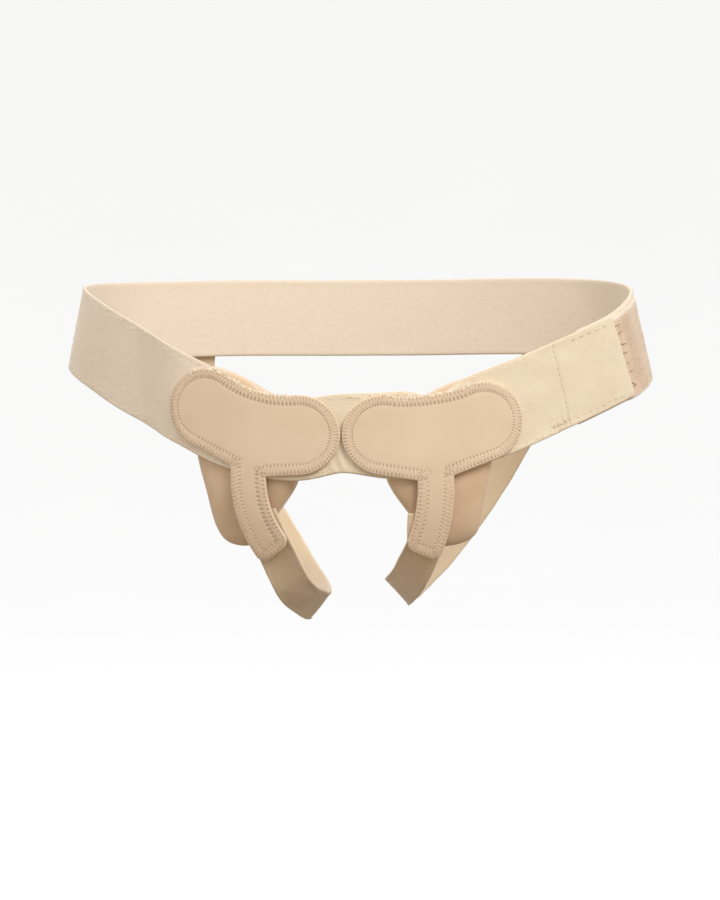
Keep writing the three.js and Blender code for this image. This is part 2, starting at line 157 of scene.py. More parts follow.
def signed_area(outline):
    """Area inside an outline, negative where the outline runs with its inside on the right."""
    x, y = outline[:, 0], outline[:, 1]
    return 0.5 * (x * np.roll(y, -1) - np.roll(x, -1) * y).sum()


def measure(spots, line):
    """Distance of flat spots from an open line, positive on its left, and their place along it."""
    batch = 3000
    start, step = line[:-1], np.diff(line, axis=0)
    length = np.linalg.norm(step, axis=1)
    run = run_along(line)
    distance, place = np.empty(len(spots)), np.empty(len(spots))
    for first in range(0, len(spots), batch):
        rel = spots[first:first + batch, None] - start[None]
        t = np.clip((rel * step).sum(-1) / length**2, 0, 1)
        far = np.linalg.norm(rel - t[..., None] * step, axis=-1)
        i = far.argmin(1)
        row = np.arange(len(i))
        turned = step[i, 0] * rel[row, i, 1] - step[i, 1] * rel[row, i, 0]
        distance[first:first + batch] = far[row, i] * np.where(turned < 0, -1, 1)
        place[first:first + batch] = run[i] + t[row, i] * length[i]
    return distance, place


def catmull(points, t, centripetal):
    """Points of an open Catmull-Rom curve at shares t of its spans."""
    points = np.asarray(points, float)
    last = len(points) - 1
    padded = np.vstack([2 * points[0] - points[1], points, 2 * points[-1] - points[-2]])
    p = np.clip(t, 0, 1) * last
    i = np.minimum(np.floor(p).astype(int), last - 1)
    w = (p - i)[:, None]
    x0, x1, x2, x3 = (padded[i + k] for k in range(4))
    if centripetal:
        d0, d1, d2 = (np.sqrt(np.linalg.norm(b - a, axis=1, keepdims=True))
                      for a, b in ((x0, x1), (x1, x2), (x2, x3)))
        t1 = ((x1 - x0) / d0 - (x2 - x0) / (d0 + d1) + (x2 - x1) / d1) * d1
        t2 = ((x2 - x1) / d1 - (x3 - x1) / (d1 + d2) + (x3 - x2) / d2) * d1
    else:
        t1, t2 = (x2 - x0) / 2, (x3 - x1) / 2
    return x1 + t1 * w + (3 * (x2 - x1) - 2 * t1 - t2) * w**2 + (2 * (x1 - x2) + t1 + t2) * w**3


# The hips

def hip_section(height):
    """The four arcs of the hips' oval at a height."""
    half_width = HIP_HALF_WIDTH - HIP_FLARE * (np.maximum(height, 0) - SIDE_HEIGHT)
    centre_back = HIP_FRONT_RADIUS - HIP_HALF_DEPTH
    front_angle = np.pi / 2 - 2 * np.arctan((HIP_FRONT_RADIUS - half_width) / centre_back)
    centre_apart = centre_back / np.cos(front_angle)
    side_radius = HIP_FRONT_RADIUS - centre_apart
    front_arc = HIP_FRONT_RADIUS * front_angle
    side_arc = side_radius * (np.pi - 2 * front_angle)
    return SimpleNamespace(
        centre_back=centre_back, front_angle=front_angle, centre_apart=centre_apart,
        side_radius=side_radius, front_arc=front_arc, side_arc=side_arc,
        half_girth=2 * front_arc + side_arc,
    )


HALF_GIRTH = float(hip_section(SIDE_HEIGHT).half_girth)


def hip_spot(arc, height):
    """Places on the skin and outward directions there."""
    arc, height = np.broadcast_arrays(np.asarray(arc, float), np.asarray(height, float))
    turned = np.where(arc < -HALF_GIRTH, arc + 2 * HALF_GIRTH, arc)
    turned = np.where(turned > HALF_GIRTH, turned - 2 * HALF_GIRTH, turned)
    way = np.where(turned < 0, -1.0, 1.0)
    section = hip_section(height)
    share = smooth(np.abs(turned), *GIRTH_BLEND)
    along = np.abs(turned) * lerp(1, section.half_girth / HALF_GIRTH, share)
    rest = along - section.front_arc
    at_back = rest >= section.side_arc
    at_side = (rest > 0) & ~at_back
    angle = along / HIP_FRONT_RADIUS
    angle = np.where(at_side, section.front_angle + rest / section.side_radius, angle)
    back_angle = np.pi - section.front_angle + (rest - section.side_arc) / HIP_FRONT_RADIUS
    angle = np.where(at_back, back_angle, angle)
    radius = np.where(at_side, section.side_radius, HIP_FRONT_RADIUS)
    centre_out = np.where(at_side, section.centre_apart * np.sin(section.front_angle), 0)
    centre_back = np.where(at_side, 0, np.where(at_back, -section.centre_back, section.centre_back))
    low = np.maximum(0, (TUCK_TOP - height) / TUCK_SPAN)
    sin, cos = np.sin(angle), np.cos(angle)
    slope = np.where(height > 0, -HIP_FLARE, 0) * sin**2 + 2 * TUCK_DEPTH * low / TUCK_SPAN * cos**2
    out = unit(np.stack([way * sin, -cos, -slope], -1))
    back = centre_back - radius * cos + TUCK_DEPTH * low**2
    return np.stack([way * (centre_out + radius * sin), back, height], -1), out


def hip_point(arc, height, lift):
    skin, out = hip_spot(arc, height)
    return skin + out * np.asarray(lift, float)[..., None]


def route_value(column, at):
    """The band route's height or width at shares of half the girth."""
    arcs, values = ROUTE[:, 0], ROUTE[:, column]
    last = len(arcs) - 1
    i = np.clip(np.searchsorted(arcs, at, side="left") - 1, 0, last - 1)

    def slope(k):
        before, after = np.maximum(k - 1, 0), np.minimum(k + 1, last)
        return (values[after] - values[before]) / (arcs[after] - arcs[before])

    span = arcs[i + 1] - arcs[i]
    t = (at - arcs[i]) / span
    start = (1 + 2 * t) * (1 - t) ** 2 * values[i] + t * (1 - t) ** 2 * span * slope(i)
    return start + t * t * (3 - 2 * t) * values[i + 1] + t * t * (t - 1) * span * slope(i + 1)


def band_line(arc):
    """Middle line of the band: height, width and the direction across it, in the flat."""
    arc = np.asarray(arc, float)
    share = np.where(arc < -HALF_GIRTH, arc + 2 * HALF_GIRTH, arc) / HALF_GIRTH
    step = 1 / HALF_GIRTH
    before, here, after = (SIDE_RISE * route_value(1, np.clip(share + k * step, -1, 1)) for k in (-1, 0, 1))
    rise = (after - before) / 2
    across = unit(np.stack([-rise, np.ones_like(rise)], -1))
    return here, BAND_WIDTH * route_value(2, share), across


def half_band(along):
    return band_line(along)[1] / 2


PAD_LEVEL = PAD_THICKNESS + GAP
TAB_LIFT = BAND_WALL + GAP
CLOSURE_LIFT = TAB_LIFT + TAB_WALL + GAP
PATCH_LIFT = max(BAND_WALL, STRAP_WALL) + GAP
PAD_EDGE_ARC = PAD_ARC + PAD_WIDTH / 2 + PAD_MARGIN


def band_lift(arc, rest):
    """Height of the band over the skin: over the pads in front, and the given height beside them."""
    return lerp(PAD_LEVEL, rest, smooth(np.abs(arc), PAD_EDGE_ARC, PAD_EDGE_ARC + PAD_FALL))


def front_lift(arc):
    return band_lift(arc, np.where(np.asarray(arc) > 0, CLOSURE_LIFT, 0.0))


def band_place(along, across, rise, lift, drop=0.0):
    """Place of a spot on a band, from its middle line."""
    height, _, direction = band_line(along)
    arc = along + direction[..., 0] * across
    return hip_point(arc, height - drop + direction[..., 1] * across, lift(arc) + rise)


# Meshes

EDGE_STEPS = 5  # rows round a strip's rounded edge
END_ROWS = np.array([0, 0.12, 0.35, 0.65])  # rows in a strip's rounded end, as shares of half its wall
END_THICKNESS = 0.3  # of a strip's wall, at its very end
THREAD_SIDES, THREAD_TAPER = 6, 0.6
HAIR_LEAN, HAIR_WIDTH, HAIR_ROOT, HAIR_SCATTER = 0.9, 0.065, 0.1, 0.25
RING_SLACK, ROW_APART, GRID_CLEARANCE = 0.04, 0.866, 0.6  # the last two as shares of a flat cut's spacing


def add_layer(mesh, name, kind, values):
    key = "value" if kind == "FLOAT" else "vector"
    layer = mesh.attributes.new(name, kind, "POINT")
    layer.data.foreach_set(key, np.asarray(values, np.float32).ravel())


def build(name, points, faces, coords=None, mark=None):
    """A piece from points in millimetres. coords are its flat places, and mark is for its material."""
    mesh = bpy.data.meshes.new(name)
    mesh.from_pydata((np.asarray(points) / 1000).tolist(), [], faces)
    work = bmesh.new()
    work.from_mesh(mesh)
    bmesh.ops.recalc_face_normals(work, faces=work.faces)
    work.to_mesh(mesh)
    work.free()
    mesh.shade_smooth()
    if coords is not None:
        add_layer(mesh, "cloth", "FLOAT_VECTOR", coords)
    if mark is not None:
        add_layer(mesh, "mark", "FLOAT", mark)
    piece = bpy.data.objects.new(name, mesh)
    bpy.context.scene.collection.objects.link(piece)
    return piece


def section_ring(columns, wall):
    """Cross-section of a strip: side from -1 to 1, reach past it, and height, round the outer face first."""
    side = np.linspace(-1, 1, columns + 1)
    turn = np.linspace(0, np.pi, EDGE_STEPS + 2)[1:-1]
    radius = wall / 2
    zeros = np.zeros(columns + 1)
    sides = np.concatenate([side, np.ones(EDGE_STEPS), side[::-1], -np.ones(EDGE_STEPS)])
    reach = radius * np.concatenate([zeros, np.sin(turn), zeros, -np.sin(turn)])
    height = np.concatenate([zeros + wall, radius + radius * np.cos(turn), zeros,
                             radius - radius * np.cos(turn)])
    return sides, reach, height


def strip(name, place, start, end, half_at, wall, relief, step, columns, mark=None):
    """A closed strip with round edges and ends. relief raises its outer face, and its inner one by half."""
    radius = wall / 2
    middle = np.linspace(start + radius, end - radius, max(3, int((end - start) / step)))
    along = np.concatenate([start + radius * END_ROWS, middle, (end - radius * END_ROWS)[::-1]])
    inset = np.clip(np.minimum(along - start, end - along) / radius, 0, 1)
    squeeze = lerp(END_THICKNESS, 1, np.sqrt(1 - (1 - inset) ** 2))[:, None]
    sides, reach, height = section_ring(columns, wall)
    half = half_at(along)[:, None] - radius
    across = sides[None] * half + reach[None] * squeeze
    edge = half + radius - np.abs(across)
    along = np.broadcast_to(along[:, None], across.shape)
    bump = relief(along, across, edge) * np.where(edge > 0, 1, 0)
    rise = radius + (height[None] - radius) * squeeze + np.where(height[None] > radius, bump, 0.5 * bump)
    points = place(along, across, rise)
    grid = np.arange(across.size).reshape(across.shape)
    beside = np.roll(grid, -1, axis=1)
    quads = np.stack([grid[:-1], beside[:-1], beside[1:], grid[1:]], -1).reshape(-1, 4).tolist()
    face, back = columns + 1, columns + 1 + EDGE_STEPS
    for row in (grid[0], grid[-1]):
        outer, inner = row[:face], row[back:back + face][::-1]
        quads += np.stack([outer[:-1], outer[1:], inner[1:], inner[:-1]], -1).tolist()
        quads.append([int(outer[-1]), *row[face:back].tolist(), int(inner[-1])])
        quads.append([int(inner[0]), *row[back + face:].tolist(), int(outer[0])])
    coords = np.stack([along, across, edge], -1)
    marks = mark(along, across) if mark else np.zeros(across.shape)
    return build(name, points.reshape(-1, 3), quads, coords, marks)


def tubes(name, paths, outs, radius):
    """One mesh of many short threads: paths (threads, points, 3) and the outward directions there."""
    count, length = paths.shape[:2]
    along = unit(np.gradient(paths, axis=1))
    side = unit(np.cross(along, outs))
    up = np.cross(side, along)
    turn = np.arange(THREAD_SIDES) / THREAD_SIDES * 2 * np.pi
    size = np.full(length, float(radius))
    size[[0, -1]] *= THREAD_TAPER
    ring = np.cos(turn)[:, None] * side[:, :, None] + np.sin(turn)[:, None] * up[:, :, None]
    points = paths[:, :, None] + ring * size[None, :, None, None]
    shape = (count, length, THREAD_SIDES)
    grid = np.arange(math.prod(shape)).reshape(shape)
    beside = np.roll(grid, -1, axis=2)
    quads = np.stack([grid[:, :-1], beside[:, :-1], beside[:, 1:], grid[:, 1:]], -1).reshape(-1, 4).tolist()
    caps = [*grid[:, 0, ::-1].tolist(), *grid[:, -1].tolist()]
    run = np.linalg.norm(np.diff(paths, axis=1, prepend=paths[:, :1]), axis=2).cumsum(1)
    coords = np.stack([np.broadcast_to(run[:, :, None], shape), np.broadcast_to(turn, shape),
                       np.broadcast_to(np.arange(count)[:, None, None], shape)], -1)
    return build(name, points.reshape(-1, 3), quads + caps, coords)


def fibres(name, roots, outs, grain, length, seed):
    """Loose nap: thin tapering hairs that stand out of a surface and lean about."""
    rng = np.random.default_rng(seed)
    count = len(roots)
    pick = rng.integers(0, count, count)
    base, out, along = roots[pick], outs[pick], grain[pick]
    base = base + rng.normal(0, HAIR_SCATTER, (count, 3)) * (1 - np.abs(out))
    side = unit(np.cross(out, along))
    angle = rng.uniform(0, 2 * np.pi, (count, 1))
    flat = np.cos(angle) * along + np.sin(angle) * side
    size = length * rng.uniform(0.5, 1.2, (count, 1))
    middle = base + size * (0.45 * out + 0.25 * HAIR_LEAN * flat)
    tip = base + size * (0.75 * out + HAIR_LEAN * flat * rng.uniform(0.4, 1.1, (count, 1)))
    broad = HAIR_WIDTH * unit(np.cross(flat, out))
    root = base - HAIR_ROOT * out
    points = np.stack([root - broad, root + broad, middle + 0.8 * broad, middle - 0.8 * broad, tip], 1)
    start = np.arange(count)[:, None] * 5
    faces = (start + [0, 1, 2, 3]).tolist() + (start + [3, 2, 4]).tolist()
    return build(name, points.reshape(-1, 3), faces, points)


def flat_cut(outline, rings, spacing):
    """Triangles inside an outline that has its inside on the left: rings near the edge, a grid within."""
    loop = closed(outline)
    tangent = unit(np.roll(outline, -1, 0) - np.roll(outline, 1, 0))
    inward = np.stack([-tangent[:, 1], tangent[:, 0]], -1)
    spots = [outline]
    for depth in rings:
        ring = outline + inward * depth
        spots.append(ring[measure(ring, loop)[0] > depth - RING_SLACK])
    low, high = outline.min(0), outline.max(0)
    u, v = np.meshgrid(np.arange(low[0], high[0], spacing), np.arange(low[1], high[1], spacing * ROW_APART))
    u = u + (np.arange(len(v))[:, None] % 2) * spacing / 2
    grid = np.stack([u.ravel(), v.ravel()], -1)
    spots.append(grid[measure(grid, loop)[0] > rings[-1] + spacing * GRID_CLEARANCE])
    count = len(outline)
    edges = [(i, (i + 1) % count) for i in range(count)]
    points, _, faces, *_ = delaunay_2d_cdt([tuple(p) for p in np.vstack(spots)], edges, [], 1, 1e-4)
    return np.array([tuple(p) for p in points]), [list(f) for f in faces], count


def slab_faces(flat):
    """Faces of a flat cut's outer side, its inner side and the wall between them."""
    points, faces, count = flat
    size = len(points)
    under = [[i + size for i in reversed(face)] for face in faces]
    wall = [[i, i + size, (i + 1) % count + size, (i + 1) % count] for i in range(count)]
    return faces + under + wall


def cut_solid(name, flat, place, top, edge, mark):
    """A closed piece from a flat cut, with its inner face at no lift."""
    x, y = flat[0].T
    points = np.vstack([place(x, y, top), place(x, y, np.zeros(len(x)))])
    coords = np.column_stack([flat[0], edge])
    marks = np.concatenate([mark, mark * 0])
    return build(name, points, slab_faces(flat), np.vstack([coords, coords]), marks)


# Materials

# Screen colours, 0 to 255. Pairs are the darker and the lighter tone of a cloth.
NAPPED_TONES, NAPPED_GAPS, NAPPED_TIPS = ((242, 225, 203), (245, 229, 209)), (216, 194, 168), (250, 240, 224)
# The napped band's rim colour is painted shade on its rounded edges, toning down the light that falls on
# them.
NAPPED_SELVAGE, NAPPED_RIM_SHADE, NAPPED_SHADE = (243, 228, 205), (222, 203, 180), (170, 144, 116)
# The woven band's rim colour is painted shade on its rounded edges, toning down the light that falls on them.
WOVEN_TONES, WOVEN_LINES, WOVEN_RIM_SHADE = ((243, 225, 194), (247, 231, 202)), (206, 178, 138), (226, 206, 173)
WOVEN_BROAD, WOVEN_THREADS, WOVEN_SHADE = (208, 182, 144), (253, 243, 221), (150, 120, 86)
TAB_TONES, TAB_STEP, TAB_END_TONE = ((219, 190, 162), (227, 200, 173)), (207, 178, 152), (228, 208, 184)
# The tab's rim colour is painted light, lifting the shadow that the front band casts along the tab's lower
# edge.
TAB_TIPS, TAB_RIM_LIGHT, TAB_SHADE = (240, 224, 204), (240, 226, 207), (150, 110, 88)
PATCH_TONES, PATCH_TIPS = ((228, 201, 170), (232, 206, 176)), (238, 216, 188)
# The needle-hole colour is painted shade in the needle holes of the cover stitch.
PATCH_RIM, NEEDLE_HOLE_SHADE = (240, 223, 198), (146, 112, 80)
PAD_TONES, PAD_TIPS, PAD_SEAM = ((215, 184, 150), (224, 194, 161)), (234, 209, 180), (230, 205, 178)
STRAP_TONES, STRAP_TAB_TONES = ((220, 196, 163), (227, 204, 172)), ((208, 185, 155), (218, 197, 168))
STRAP_TIPS, STRAP_RIM, STRAP_SHADE = (238, 221, 194), (236, 219, 192), (140, 112, 84)
COVER_TONES, SEAM_TONES = ((230, 206, 176), (240, 219, 191)), ((172, 142, 106), (206, 180, 142))
TICK_TONES, PILL_TONES = ((150, 116, 90), (178, 145, 116)), ((250, 236, 212), (255, 248, 232))
NAP_TONES, SOFT_NAP_TONES = ((216, 198, 172), (240, 228, 208)), ((206, 176, 146), (232, 206, 178))
FLOOR_TONES, FLOOR_GLOW = ((108, 108, 109), (114, 114, 114)), 0.8

EVEN = (1, 1, 0)  # stretch of a pattern that is the same along and across the cloth
PER_MM = (1000, 1000, 1000)  # stretch from metres to millimetres
HOLE_SHADE, RIB_HEIGHT, HOLE_DEPTH = 0.85, 0.07, -0.9  # sewing in the material


def linear(red, green, blue):
    """A screen colour, 0 to 255, as a linear one."""
    tones = [c / 255 for c in (red, green, blue)]
    return [*(t / 12.92 if t <= 0.04045 else ((t + 0.055) / 1.055) ** 2.4 for t in tones), 1.0]


class Cloth:
    """A fabric material: colour and relief built from the piece's own flat places, in millimetres."""

    def __init__(self, name, roughness, sheen, sheen_roughness=0.5, specular=0.25):
        self.material = bpy.data.materials.new(name)
        self.material.use_nodes = True
        self.tree = self.material.node_tree
        self.shader = self.tree.nodes["Principled BSDF"]
        for key, value in (("Roughness", roughness), ("Sheen Weight", sheen),
                           ("Sheen Roughness", sheen_roughness), ("Specular IOR Level", specular)):
            self.shader.inputs[key].default_value = value

    def node(self, kind, **settings):
        made = self.tree.nodes.new(kind)
        for key, value in settings.items():
            setattr(made, key, value)
        return made

    def set(self, socket, value):
        """Gives a socket a link, a screen colour or a number."""
        if isinstance(value, bpy.types.NodeSocket):
            self.tree.links.new(value, socket)
        elif isinstance(value, tuple):
            socket.default_value = linear(*value)
        else:
            socket.default_value = value

    def math(self, operation, a, b=0.0, c=0.0):
        made = self.node("ShaderNodeMath", operation=operation)
        for socket, value in zip(made.inputs, (a, b, c)):
            self.set(socket, value)
        return made.outputs[0]

    def times(self, a, b):
        return self.math("MULTIPLY", a, b)

    def times_plus(self, a, b, c):
        return self.math("MULTIPLY_ADD", a, b, c)

    def parts(self, attribute="cloth"):
        """An attribute's vector and its three parts."""
        found = self.node("ShaderNodeAttribute", attribute_name=attribute)
        split = self.node("ShaderNodeSeparateXYZ")
        self.tree.links.new(found.outputs["Vector"], split.inputs[0])
        return found.outputs["Vector"], *split.outputs

    def mark(self):
        return self.node("ShaderNodeAttribute", attribute_name="mark").outputs["Fac"]

    def scaled(self, vector, stretch):
        made = self.node("ShaderNodeVectorMath", operation="MULTIPLY")
        self.tree.links.new(vector, made.inputs[0])
        made.inputs[1].default_value = stretch
        return made.outputs[0]

    def place(self):
        """Places on the piece in metres, for pieces with no flat ones."""
        return self.node("ShaderNodeTexCoord").outputs["Object"]

    def noise(self, vector, stretch, scale, detail=2.0, roughness=0.5):
        made = self.node("ShaderNodeTexNoise")
        self.tree.links.new(self.scaled(vector, stretch), made.inputs["Vector"])
        for key, value in (("Scale", scale), ("Detail", detail), ("Roughness", roughness)):
            made.inputs[key].default_value = value
        return made.outputs["Fac"]

    def cells(self, vector, stretch, scale):
        made = self.node("ShaderNodeTexVoronoi", feature="SMOOTH_F1")
        self.tree.links.new(self.scaled(vector, stretch), made.inputs["Vector"])
        made.inputs["Scale"].default_value = scale
        return made.outputs["Distance"]

    def span(self, value, low, high, to_low=0.0, to_high=1.0):
        made = self.node("ShaderNodeMapRange", interpolation_type="SMOOTHSTEP")
        for key, number in (("Value", value), ("From Min", low), ("From Max", high), ("To Min", to_low),
                            ("To Max", to_high)):
            self.set(made.inputs[key], number)
        return made.outputs[0]

    def mix(self, share, a, b):
        made = self.node("ShaderNodeMix", data_type="RGBA")
        for socket, value in ((0, share), (6, a), (7, b)):
            self.set(made.inputs[socket], value)
        return made.outputs[2]

    def ridges(self, value, period, wander=None, amount=0.0):
        """Even ridges, 0 to 1, across a flat measure."""
        phase = self.times(value, 2 * math.pi / period)
        if wander is not None:
            phase = self.math("ADD", phase, self.times(wander, amount))
        return self.times_plus(self.math("SINE", phase), 0.5, 0.5)

    def finish(self, colour, height=None, depth=0.1):
        """depth is the relief's height in millimetres."""
        self.set(self.shader.inputs["Base Color"], colour)
        if height is not None:
            bump = self.node("ShaderNodeBump")
            bump.inputs["Strength"].default_value = 1.0
            bump.inputs["Distance"].default_value = depth / 1000
            self.tree.links.new(height, bump.inputs["Height"])
            self.tree.links.new(bump.outputs["Normal"], self.shader.inputs["Normal"])
        return self.material


def napped_material():
    """Brushed loops with a smoother ribbed selvage whose inner edge wanders."""
    cloth = Cloth("napped_elastic_cloth", 0.95, 0.3)
    vector, _, across, edge = cloth.parts()
    loops = cloth.cells(vector, (1, 1.2, 0), 1.5)
    fine = cloth.noise(vector, (1, 1.2, 0), 2.2, 3, 0.65)
    cloud = cloth.noise(vector, (1, 1.6, 0), 0.22, 3, 0.6)
    wander = cloth.times_plus(cloth.noise(vector, (0.5, 0, 0), 1.0), 1.6, 1.0)
    selvage = cloth.span(cloth.math("SUBTRACT", edge, wander), -0.5, 0.5, 1.0, 0.0)
    body = cloth.mix(cloth.span(cloud, 0.32, 0.7), *NAPPED_TONES)
    body = cloth.mix(cloth.span(loops, 0.2, 0.8, 0.0, 0.2), body, NAPPED_GAPS)
    body = cloth.mix(cloth.span(fine, 0.5, 0.8, 0.0, 0.4), body, NAPPED_TIPS)
    body = cloth.mix(cloth.times(selvage, 0.6), body, NAPPED_SELVAGE)
    # Painted shade on the rounded edges, toning down the light that falls on them.
    body = cloth.mix(cloth.span(edge, 0.2, 1.3, 0.55, 0), body, NAPPED_RIM_SHADE)
    colour = cloth.mix(cloth.mark(), body, NAPPED_SHADE)
    pile = cloth.math("SUBTRACT", fine, cloth.times(loops, 0.6))
    rib = cloth.ridges(across, 0.9)
    return cloth.finish(colour, cloth.times_plus(cloth.times(selvage, rib), 0.25, pile), 0.17)


def woven_material():
    """Ribbed weave with broad faint bands and short darker lines, calm beside the closure."""
    cloth = Cloth("woven_elastic_cloth", 0.85, 0.3)
    vector, along, across, edge = cloth.parts()
    narrow = cloth.ridges(across, 0.62)
    side = cloth.math("SIGN", cloth.math("SUBTRACT", narrow, 0.5))
    thread = cloth.times(narrow, cloth.ridges(along, 0.85, side, math.pi / 2))
    broad = cloth.ridges(across, 2.1, cloth.noise(vector, (0.03, 0.1, 0), 1.0), 5.0)
    dashes = cloth.noise(vector, (0.14, 1.3, 0), 1.0, 3, 0.65)
    where = cloth.span(cloth.noise(vector, (0.04, 0.09, 0), 1.0), 0.42, 0.62)
    lines = cloth.times(cloth.span(dashes, 0.48, 0.7), cloth.times_plus(where, 0.75, 0.25))
    lines = cloth.times(lines, cloth.span(along, 122, 134, 1.0, 0.4))
    cloud = cloth.noise(vector, EVEN, 0.05)
    body = cloth.mix(cloth.span(cloud, 0.3, 0.7), *WOVEN_TONES)
    body = cloth.mix(cloth.times(lines, 0.24), body, WOVEN_LINES)
    # Painted shade on the rounded edges, toning down the light that falls on them.
    body = cloth.mix(cloth.span(edge, 0.2, 1.4, 0.5, 0), body, WOVEN_RIM_SHADE)
    body = cloth.mix(cloth.times(broad, 0.05), body, WOVEN_BROAD)
    body = cloth.mix(cloth.times(thread, 0.16), body, WOVEN_THREADS)
    colour = cloth.mix(cloth.mark(), body, WOVEN_SHADE)
    height = cloth.times_plus(lines, -0.55, cloth.times_plus(broad, 0.12, thread))
    return cloth.finish(colour, height, 0.13)


def tab_material():
    """Brushed tab with a darker step and a paler end, both with a wandering front."""
    cloth = Cloth("landing_tab_cloth", 0.9, 0.4)
    vector, along, _, edge = cloth.parts()
    pile = cloth.noise(vector, (1.2, 0.8, 0), 1.7, 3, 0.65)
    cloud = cloth.noise(vector, (1, 0.35, 0), 0.16)
    wander = cloth.times_plus(cloth.noise(vector, (0, 0.12, 0), 1.0), 3.0, along)
    body = cloth.mix(cloth.span(cloud, 0.3, 0.7), *TAB_TONES)
    body = cloth.mix(cloth.span(wander, 182.5, 185.5, 0, 0.5), body, TAB_STEP)
    body = cloth.mix(cloth.span(wander, 191.5, 196, 0, 0.65), body, TAB_END_TONE)
    body = cloth.mix(cloth.span(pile, 0.5, 0.8, 0, 0.4), body, TAB_TIPS)
    # Painted light along both edges, which lifts the front band's shadow on the lower one.
    body = cloth.mix(cloth.span(edge, 0.6, 2.6, 0.8, 0), body, TAB_RIM_LIGHT)
    return cloth.finish(cloth.mix(cloth.mark(), body, TAB_SHADE), pile, 0.25)


def sewn(cloth, attribute, strength, reach):
    """Painted shade and height of a cover stitch: dark dashes at the needle holes of both rows, ribs between
    them.
    """
    _, phase, distance, fade = cloth.parts(attribute)
    turn = cloth.times(phase, 2 * math.pi)
    wave = cloth.times_plus(cloth.math("COSINE", turn), 0.5, 0.5)
    inner_hole = cloth.math("POWER", wave, 3.0)
    outer_hole = cloth.math("POWER", cloth.math("SUBTRACT", 1.0, wave), 3.0)

    def row(centre, width):
        offset = cloth.math("DIVIDE", cloth.math("SUBTRACT", distance, centre), width)
        return cloth.math("EXPONENT", cloth.times(cloth.times(offset, offset), -1.0))

    inner = cloth.times(row(cloth.math("SUBTRACT", INNER_ROW + 0.25, reach), reach), inner_hole)
    outer = cloth.times(row(OUTER_ROW + 0.7, 0.75), outer_hole)
    between = cloth.times(cloth.span(distance, OUTER_ROW, OUTER_ROW + 1),
                          cloth.span(distance, INNER_ROW, INNER_ROW - 1.2))
    rib = cloth.math("SINE", cloth.times_plus(distance, 0.8, turn))
    dark = cloth.times_plus(cloth.times(outer, strength), 0.95, cloth.times(inner, 0.8))
    height = cloth.times_plus(cloth.times(between, rib), RIB_HEIGHT, cloth.times(dark, HOLE_DEPTH))
    return cloth.times(dark, fade), cloth.times(height, fade)


def laminate_material():
    """Smooth fine knit with the cover stitch's dashes of painted shade, which the piece's mark draws out."""
    cloth = Cloth("foam_laminate_cloth", 0.62, 0.25, 0.4, 0.3)
    vector, along, across, edge = cloth.parts()
    wale = cloth.ridges(along, 0.46)
    course = cloth.ridges(across, 0.4, wale, 1.6)
    cloud = cloth.noise(vector, EVEN, 0.035)
    grain = cloth.noise(vector, EVEN, 1.6, 3, 0.6)
    strength = cloth.span(cloth.noise(vector, EVEN, 0.055), 0.36, 0.6, 0.45, 1.0)
    reach = cloth.span(cloth.noise(vector, (1, 1, 1), 0.045), 0.46, 0.66, 0.4, 0.8)
    reach = cloth.math("MAXIMUM", reach, cloth.times(cloth.mark(), 1.1))
    body = cloth.mix(cloth.span(cloud, 0.3, 0.72), *PATCH_TONES)
    body = cloth.mix(cloth.span(grain, 0.5, 0.8, 0, 0.2), body, PATCH_TIPS)
    body = cloth.mix(cloth.span(edge, 0.1, 0.6, 0.25, 0), body, PATCH_RIM)
    dark, height = zip(*(sewn(cloth, name, strength, reach) for name in ("sewn_lobes", "sewn_tongue")))
    # Painted shade at the needle holes, from the stitches' dark dashes.
    colour = cloth.mix(cloth.times(cloth.math("MAXIMUM", *dark), HOLE_SHADE), body, NEEDLE_HOLE_SHADE)
    knit = cloth.times_plus(grain, 0.1, cloth.times(cloth.times(wale, course), 0.06))
    return cloth.finish(colour, cloth.math("ADD", knit, cloth.math("ADD", *height)), 0.5)


def pad_material():
    cloth = Cloth("pad_foam_cloth", 0.85, 0.45)
    place = cloth.place()
    grain = cloth.noise(place, PER_MM, 1.5, 3, 0.65)
    cloud = cloth.noise(place, PER_MM, 0.05, 3, 0.55)
    body = cloth.mix(cloth.span(cloud, 0.32, 0.7), *PAD_TONES)
    body = cloth.mix(cloth.span(grain, 0.5, 0.8, 0, 0.3), body, PAD_TIPS)
    return cloth.finish(cloth.mix(cloth.mark(), body, PAD_SEAM), grain, 0.14)


def strap_material(name, tones, nap):
    cloth = Cloth(name, 0.9, 0.35)
    vector, along, across, edge = cloth.parts()
    rib = cloth.ridges(across, 0.8)
    weft = cloth.ridges(along, 1.1, rib, 1.5)
    grain = cloth.noise(vector, EVEN, 1.5, 3, 0.6)
    cloud = cloth.noise(vector, (0.5, 1, 0), 0.06)
    body = cloth.mix(cloth.span(cloud, 0.3, 0.7), *tones)
    body = cloth.mix(cloth.span(grain, 0.5, 0.8, 0, 0.35), body, STRAP_TIPS)
    body = cloth.mix(cloth.span(edge, 0.2, 1.4, 0.35, 0), body, STRAP_RIM)
    height = cloth.times_plus(cloth.times(rib, weft), 0.5, cloth.times(grain, nap))
    return cloth.finish(cloth.mix(cloth.mark(), body, STRAP_SHADE), height, 0.18)


def thread_material(name, tones):
    """Twisted thread, each one of its own tone."""
    cloth = Cloth(name, 0.6, 0.25, 0.4, 0.4)
    vector, run, turn, _ = cloth.parts()
    twist = cloth.math("SINE", cloth.times_plus(run, 9.0, cloth.times(turn, 2.0)))
    tone = cloth.noise(vector, (0.2, 0, 0.37), 1.0, 1)
    return cloth.finish(cloth.mix(cloth.span(tone, 0.3, 0.7), *tones), twist, 0.04)


def fibre_material(name, tones):
    cloth = Cloth(name, 0.95, 0.3)
    tone = cloth.noise(cloth.place(), PER_MM, 1.1)
    return cloth.finish(cloth.mix(cloth.span(tone, 0.3, 0.7), *tones))


